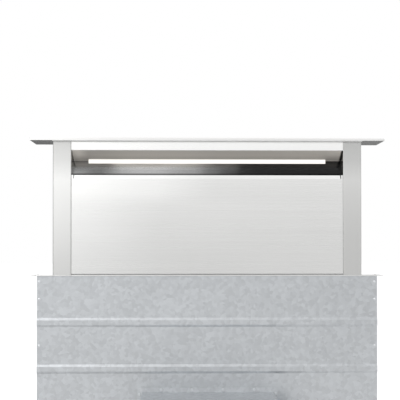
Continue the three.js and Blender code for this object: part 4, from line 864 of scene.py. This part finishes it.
# the can has two beads and the gearbox three, each given by its radii and half its widths
CAN_BEAD, GEAR_BEAD = (17, 17.6, 1.2, 0.5), (18.2, 18.9, 0.7, 0.3)
beads = [(low[2] + rise, CAN_BEAD) for rise in (9, 50)]
beads += [(neck - drop, GEAR_BEAD) for drop in (5, 12, 19)]
made = bmesh.new()
for level, (base, crown, wide, narrow) in beads:
    bead = [(base, -wide), (crown, -narrow), (crown, narrow), (base, wide)]
    add(made, turned(bead, 48, True), Vector((x, y, level)) * mm)
piece("motor_beads", made, can_steel)
made = bmesh.new()
for turn in (30, 150, 270):
    at = Vector((x + 13 * cos(radians(turn)), y + 13 * sin(radians(turn)), neck + 2)) * mm
    cross_screw(made, at, (0, 0, 1), 2.6, 1.6)
for across in (-12, 12):
    at = Vector((x + across, high[1] + 8.4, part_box("motor_bracket")[1][2] / mm - 2)) * mm
    hex_screw(made, at, (0, 0, -1), 5.5)
piece("motor_screws", made, zinc_screws)
brass = grained("terminal_brass", (0.83, 0.66, 0.36), 0.3, "Z", 0.04)
made = bmesh.new()
for across in (-6, 6):
    tab = bmesh.new()
    bmesh.ops.create_cube(tab, size=1, matrix=Matrix.Diagonal((2.8, 0.8, 7, 1)))
    bmesh.ops.bevel(
        tab, geom=tab.edges[:], offset=0.15, segments=1, profile=0.5, affect="EDGES", material=-1
    )
    add(made, tab, Vector((x + across, y, low[2] + 0.5)) * mm)
piece("motor_terminals", made, brass)

# -------------------------------------------- blower
# A galvanised box and cover hold the scroll, its black forward-curved wheel and the motor. The box
# is screwed to the housing round the fan window, and the cover to the box.
blower_zinc = zinc_sheet("blower_zinc", (0.64, 0.66, 0.68))
finish(blower_zinc, "blower_box", "blower_scroll")
finish(moulded("wheel_plastic", (0.026, 0.026, 0.028), 0.48), "blower_impeller")
finish(grained("cast_metal", (0.6, 0.61, 0.62), 0.45, "", 0.06), "blower_motor")
low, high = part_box("blower_box")
made = bmesh.new()
flange_face = high[1] - 1.2 * mm
end_gap, side_screws = 17 * mm, 5
for side in (-1, 1):
    for i in range(side_screws):
        rise = i * (high[2] - low[2] - 2 * end_gap) / (side_screws - 1)
        at = (side * (high[0] - 6 * mm), flange_face, low[2] + end_gap + rise)
        hex_screw(made, at, (0, -1, 0), 6)
for level in (low[2] + 6 * mm, high[2] - 6 * mm):
    for across in (-0.12, -0.04, 0.04, 0.12):
        hex_screw(made, (across, flange_face, level), (0, -1, 0), 6)
low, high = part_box("blower_cover")
middle = (low[1] + high[1]) / 2
for side in (-1, 1):
    for level in (0.22, 0.335, 0.45):
        hex_screw(made, (side * high[0], middle, level), (side, 0, 0), 5.5)
for level, way in ((low[2], -1), (high[2], 1)):
    for across in (-0.12, 0, 0.12):
        hex_screw(made, (across, middle, level), (0, 0, way), 5.5)
piece("blower_screws", made, zinc_screws)


def loop(part, half_width, half_height, radius, level):
    """A loop of edges round a rectangle with rounded corners."""
    at = Matrix.Translation((0, 0, level)) @ Matrix.Diagonal((half_width, half_height, 1, 1))
    corners = bmesh.ops.create_grid(part, x_segments=1, y_segments=1, size=1, matrix=at)["verts"]
    bmesh.ops.bevel(
        part, geom=corners, offset=radius, segments=6, profile=0.5, affect="VERTICES", material=-1
    )
    (sheet,) = part.faces
    edges = sheet.edges[:]
    bmesh.ops.delete(part, geom=[sheet], context="FACES_ONLY")
    return edges


low, high = in_mm(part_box("blower_cover"))
half, tall, deep = high[0], (high[2] - low[2]) / 2, high[1] - low[1]
WALL, ROLL, PRESSED, PRESSED_RADIUS = 1.2, 0.7, 0.9, 14  # mm: sheet, rim, depth and corners
# the cover's loops, each an inset from the rim and a height, from its inside round to its middle
steps = [(WALL, -WALL), (WALL, -deep), (0, -deep), (0, -ROLL), (ROLL, 0)]
for inset in (20, 100):
    steps += [(inset, 0), (inset + 2, -PRESSED), (inset + 9, -PRESSED), (inset + 11, 0)]
sheet = bmesh.new()
loops = []
for inset, _ in steps:
    radius = max(3 - inset, 1.5) if inset < 5 else PRESSED_RADIUS
    loops.append(loop(sheet, half - inset, tall - inset, radius, len(loops)))
bmesh.ops.contextual_create(sheet, geom=loops[0])
bmesh.ops.contextual_create(sheet, geom=loops[-1])
for inner, outer in zip(loops, loops[1:]):
    bmesh.ops.bridge_loops(sheet, edges=inner + outer)
# the loops are bridged a step apart, because loops in one plane would be bridged askew
for vert in sheet.verts:
    vert.co.z = steps[round(vert.co.z)][1]
made = bmesh.new()
add(made, sheet, Vector((0, low[1], (low[2] + high[2]) / 2)) * mm, (0, -1, 0))
cover = piece("pressed_cover", made, blower_zinc)
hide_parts("blower_cover")

# -------------------------------------------- outlet collar and damper
# A spun collar with a sealing bead is riveted to the box. Two half-round flaps hang on an upright
# spindle inside it, and a small torsion spring shuts each one.
low, high = in_mm(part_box("outlet_collar"))
centre = (low + high) / 2
steps, bore, outside, bead, half = 96, 75, 76.2, 77.8, (high[1] - low[1]) / 2
tube = [(77.4, low[0] + WALL), (outside, low[0] + 2.6), (outside, high[0] - 12)]
tube += [(bead, high[0] - 10.5), (bead, high[0] - 8.5), (outside, high[0] - 7)]
tube += [(75.9, high[0] - 0.6), (75.3, high[0]), (bore, high[0] - 0.6), (bore, low[0])]
spun = turned(tube, steps)
rims = [edge for edge in spun.edges if edge.is_boundary]
outline = []
# the square flange's two outlines are cut into as many edges as the tube has, and bridged to it
for level in (low[0], low[0] + WALL):
    at = Matrix.Translation((0, 0, level))
    corners = bmesh.ops.create_grid(spun, size=half, matrix=at)["verts"]
    bmesh.ops.delete(spun, geom=corners[0].link_faces[:], context="FACES_ONLY")
    edges = [*dict.fromkeys(edge for corner in corners for edge in corner.link_edges)]
    cut = bmesh.ops.subdivide_edges(spun, edges=edges, cuts=steps // 4 - 1)["geom"]
    edges = [part for part in cut if isinstance(part, bmesh.types.BMEdge)]
    rim = [edge for edge in rims if abs(edge.verts[0].co.z - level) < 0.1]
    bmesh.ops.bridge_loops(spun, edges=edges + rim)
    outline += edges
bmesh.ops.bridge_loops(spun, edges=outline)
made = bmesh.new()
add(made, spun, Vector((0, centre[1], centre[2])) * mm, (1, 0, 0))
spindle_x = sum(corner[0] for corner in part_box("front_damper_flap")) / 2 / mm
axis = Vector((spindle_x, centre[1], 0)) * mm
ends = centre[2] - bore - 0.4, centre[2] + bore + 0.4
add(made, turned([(0, ends[0]), (1.5, ends[0]), (1.5, ends[1]), (0, ends[1])], 20), axis)
for level, way in ((ends[0] - 0.6, -1), (ends[1] + 0.6, 1)):
    rivet(made, axis + Vector((0, 0, level * mm)), (0, 0, way), 3)
inset = half - 9
for side in (-1, 1):
    for rise in (-1, 1):
        at = Vector((low[0] + WALL, centre[1] + side * inset, centre[2] + rise * inset)) * mm
        rivet(made, at, (1, 0, 0))
collar_zinc = zinc_sheet("collar_zinc", (0.63, 0.65, 0.67))
collar = piece("beaded_collar", made, collar_zinc)
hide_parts("outlet_collar")
finish(collar_zinc, "front_damper_flap", "rear_damper_flap")

WIRE, COIL, COILS, COIL_RISE, COIL_STEPS = 0.45, 2.6, 7, 1.1, 16  # mm, turns and their steps
for name, side in (("front", -1), ("rear", 1)):
    spring = bmesh.new()
    upright = Matrix.Translation((COIL, 0, -side * 3.8)) @ Matrix.Rotation(tau / 4, 4, "X")
    bmesh.ops.create_circle(spring, cap_ends=True, segments=8, radius=WIRE, matrix=upright)
    whole = [*spring.verts, *spring.edges, *spring.faces]
    climb = (0, 0, side * COIL_RISE / COIL_STEPS)
    last = bmesh.ops.spin(
        spring, geom=whole, axis=(0, 0, 1), dvec=climb, angle=side * tau * COILS,
        steps=COILS * COIL_STEPS,
    )["geom_last"]
    tail = [face for face in last if isinstance(face, bmesh.types.BMFace)]
    drawn_out(spring, tail, (1.8, side * 9.6, 0))
    made = bmesh.new()
    add(made, spring, Vector((spindle_x, centre[1], centre[2] - side * 62)) * mm)
    piece(name + "_damper_spring", made, turned_steel, name + "_flap", 60)

# -------------------------------------------- control box
# A galvanised tray on the housing with a louvred lid. The wires leave through a black nylon gland
# in its floor.
finish(zinc_sheet("lid_zinc", (0.64, 0.66, 0.68)), "control_box_lid")
tray_zinc = zinc_sheet("tray_zinc", (0.64, 0.66, 0.68))
finish(tray_zinc, "control_box")
low, high = in_mm(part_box("control_box"))
lid_low, lid_high = in_mm(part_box("control_box_lid"))
gland_x, gland_y, floor = low[0] + 30, lid_high[1] + 14.5, low[2] + 22
tree = tray_zinc.node_tree
place = here(tree)
below = along(tree, place, "Z", [((floor - 1) * mm, 1), ((floor - 0.9) * mm, 0)])
over(tray_zinc, below, (0.028, 0.028, 0.03, 1), 0.45, 0.0)
gland_black = moulded("gland_black", (0.028, 0.028, 0.03), 0.45)
made = bmesh.new()
for level, corner in ((floor - 12.5, 12.6), (floor - 4.2, 12.9)):
    hole, cut = 10.2, 0.94 * corner
    nut = [(hole, 0), (cut, 0), (corner, 0.8), (corner, 3.4), (cut, 4.2), (hole, 4.2)]
    add(made, turned(nut, 6, True), Vector((gland_x, gland_y, level)) * mm)
gland = piece("gland_nuts", made, gland_black)

made = bmesh.new()
middle = (lid_low + lid_high) / 2
for side, x in ((-1, lid_low[0]), (1, lid_high[0])):
    for rise in (-45, 45):
        at = Vector((x, lid_low[1] + 6, middle[2] + rise)) * mm
        hex_screw(made, at, (side, 0, 0), 5.5)
piece("lid_screws", made, zinc_screws)
SPAN = 26  # half a louvre's width, in mm
made = bmesh.new()
for column in (-42, 42):
    for row in range(6):
        hood = bmesh.new()
        section = [(-SPAN, 3.4, -0.4), (-SPAN, -2.6, -0.4), (-SPAN, -2.6, 1.9), (-SPAN, 0.8, 1.3)]
        end = hood.faces.new([hood.verts.new(corner) for corner in section])
        drawn_out(hood, [end], (2 * SPAN, 0, 0))
        ridges = [edge for edge in hood.edges if edge.calc_length() > SPAN]
        bmesh.ops.subdivide_edges(hood, edges=ridges, cuts=11, use_grid_fill=True)
        for vert in hood.verts:
            swell = sqrt(max(0.01, 1 - (vert.co.x / SPAN) ** 4))
            vert.co.y *= 0.25 + 0.75 * swell
            vert.co.z = vert.co.z * swell - (1 - swell) * 0.3
        at = Vector((middle[0] + column, lid_low[1], middle[2] - 25 + 10 * row)) * mm
        add(made, hood, at, (0, -1, 0))
piece("lid_louvres", made, tray_zinc)

# -------------------------------------------- legs and foot pads
# Two legs are folded from galvanised sheet and bolted through slots to the housing's sides, so
# that they can be set in height. Each stands on a pushed-on pad of ribbed black rubber.
finish(zinc_sheet("leg_zinc", (0.6, 0.62, 0.64)), "right_leg", "left_leg")
low, high = in_mm(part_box("right_leg"))
made = bmesh.new()
for side in (-1, 1):
    for drop in (50, 130):
        at = Vector((side * high[0], post_front / mm + 26, high[2] - drop)) * mm
        hex_screw(made, at, (side, 0, 0), 10, 9)
piece("leg_bolts", made, zinc_screws)
ribbed_rubber = moulded("ribbed_rubber", (0.024, 0.024, 0.024), 0.75, 0.25)
finish(ribbed_rubber, "right_foot_pad", "left_foot_pad")
made = bmesh.new()
low, high = in_mm(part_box("right_foot_pad"))
for side in (-1, 1):
    for level in (4.6, 7.2, 9.8):
        rib = bmesh.new()
        outline = [(0, -0.6, 0), (side * 0.7, 0, 0), (0, 0.6, 0), (-side * 0.5, 0, 0)]
        end = rib.faces.new([rib.verts.new(corner) for corner in outline])
        drawn_out(rib, [end], (0, 0, high[1] - low[1] - 4))
        add(made, rib, Vector((side * (high[0] - 0.1), high[1] - 2, level)) * mm, (0, -1, 0))
ribs = piece("pad_ribs", made, ribbed_rubber)

# -------------------------------------------- key board
# The key board lies hidden in the cap, under the four buttons. It is glass-filled laminate with
# green lacquer over its copper tracks.
board_green, tree, shader = new_material("board_green", Roughness=0.3)
lacquer, darker, track = (0.02, 0.11, 0.05, 1), (0.018, 0.1, 0.045, 1), (0.05, 0.2, 0.08, 1)
tracks = wire(
    tree, "TexBrick", None, Vector=here(tree), Scale=140.0, Mortar_Size=0.03,
    Color1=lacquer, Color2=darker, Mortar=track,
)
tree.links.new(tracks, shader.inputs["Base Color"])
finish(board_green, "control_board")
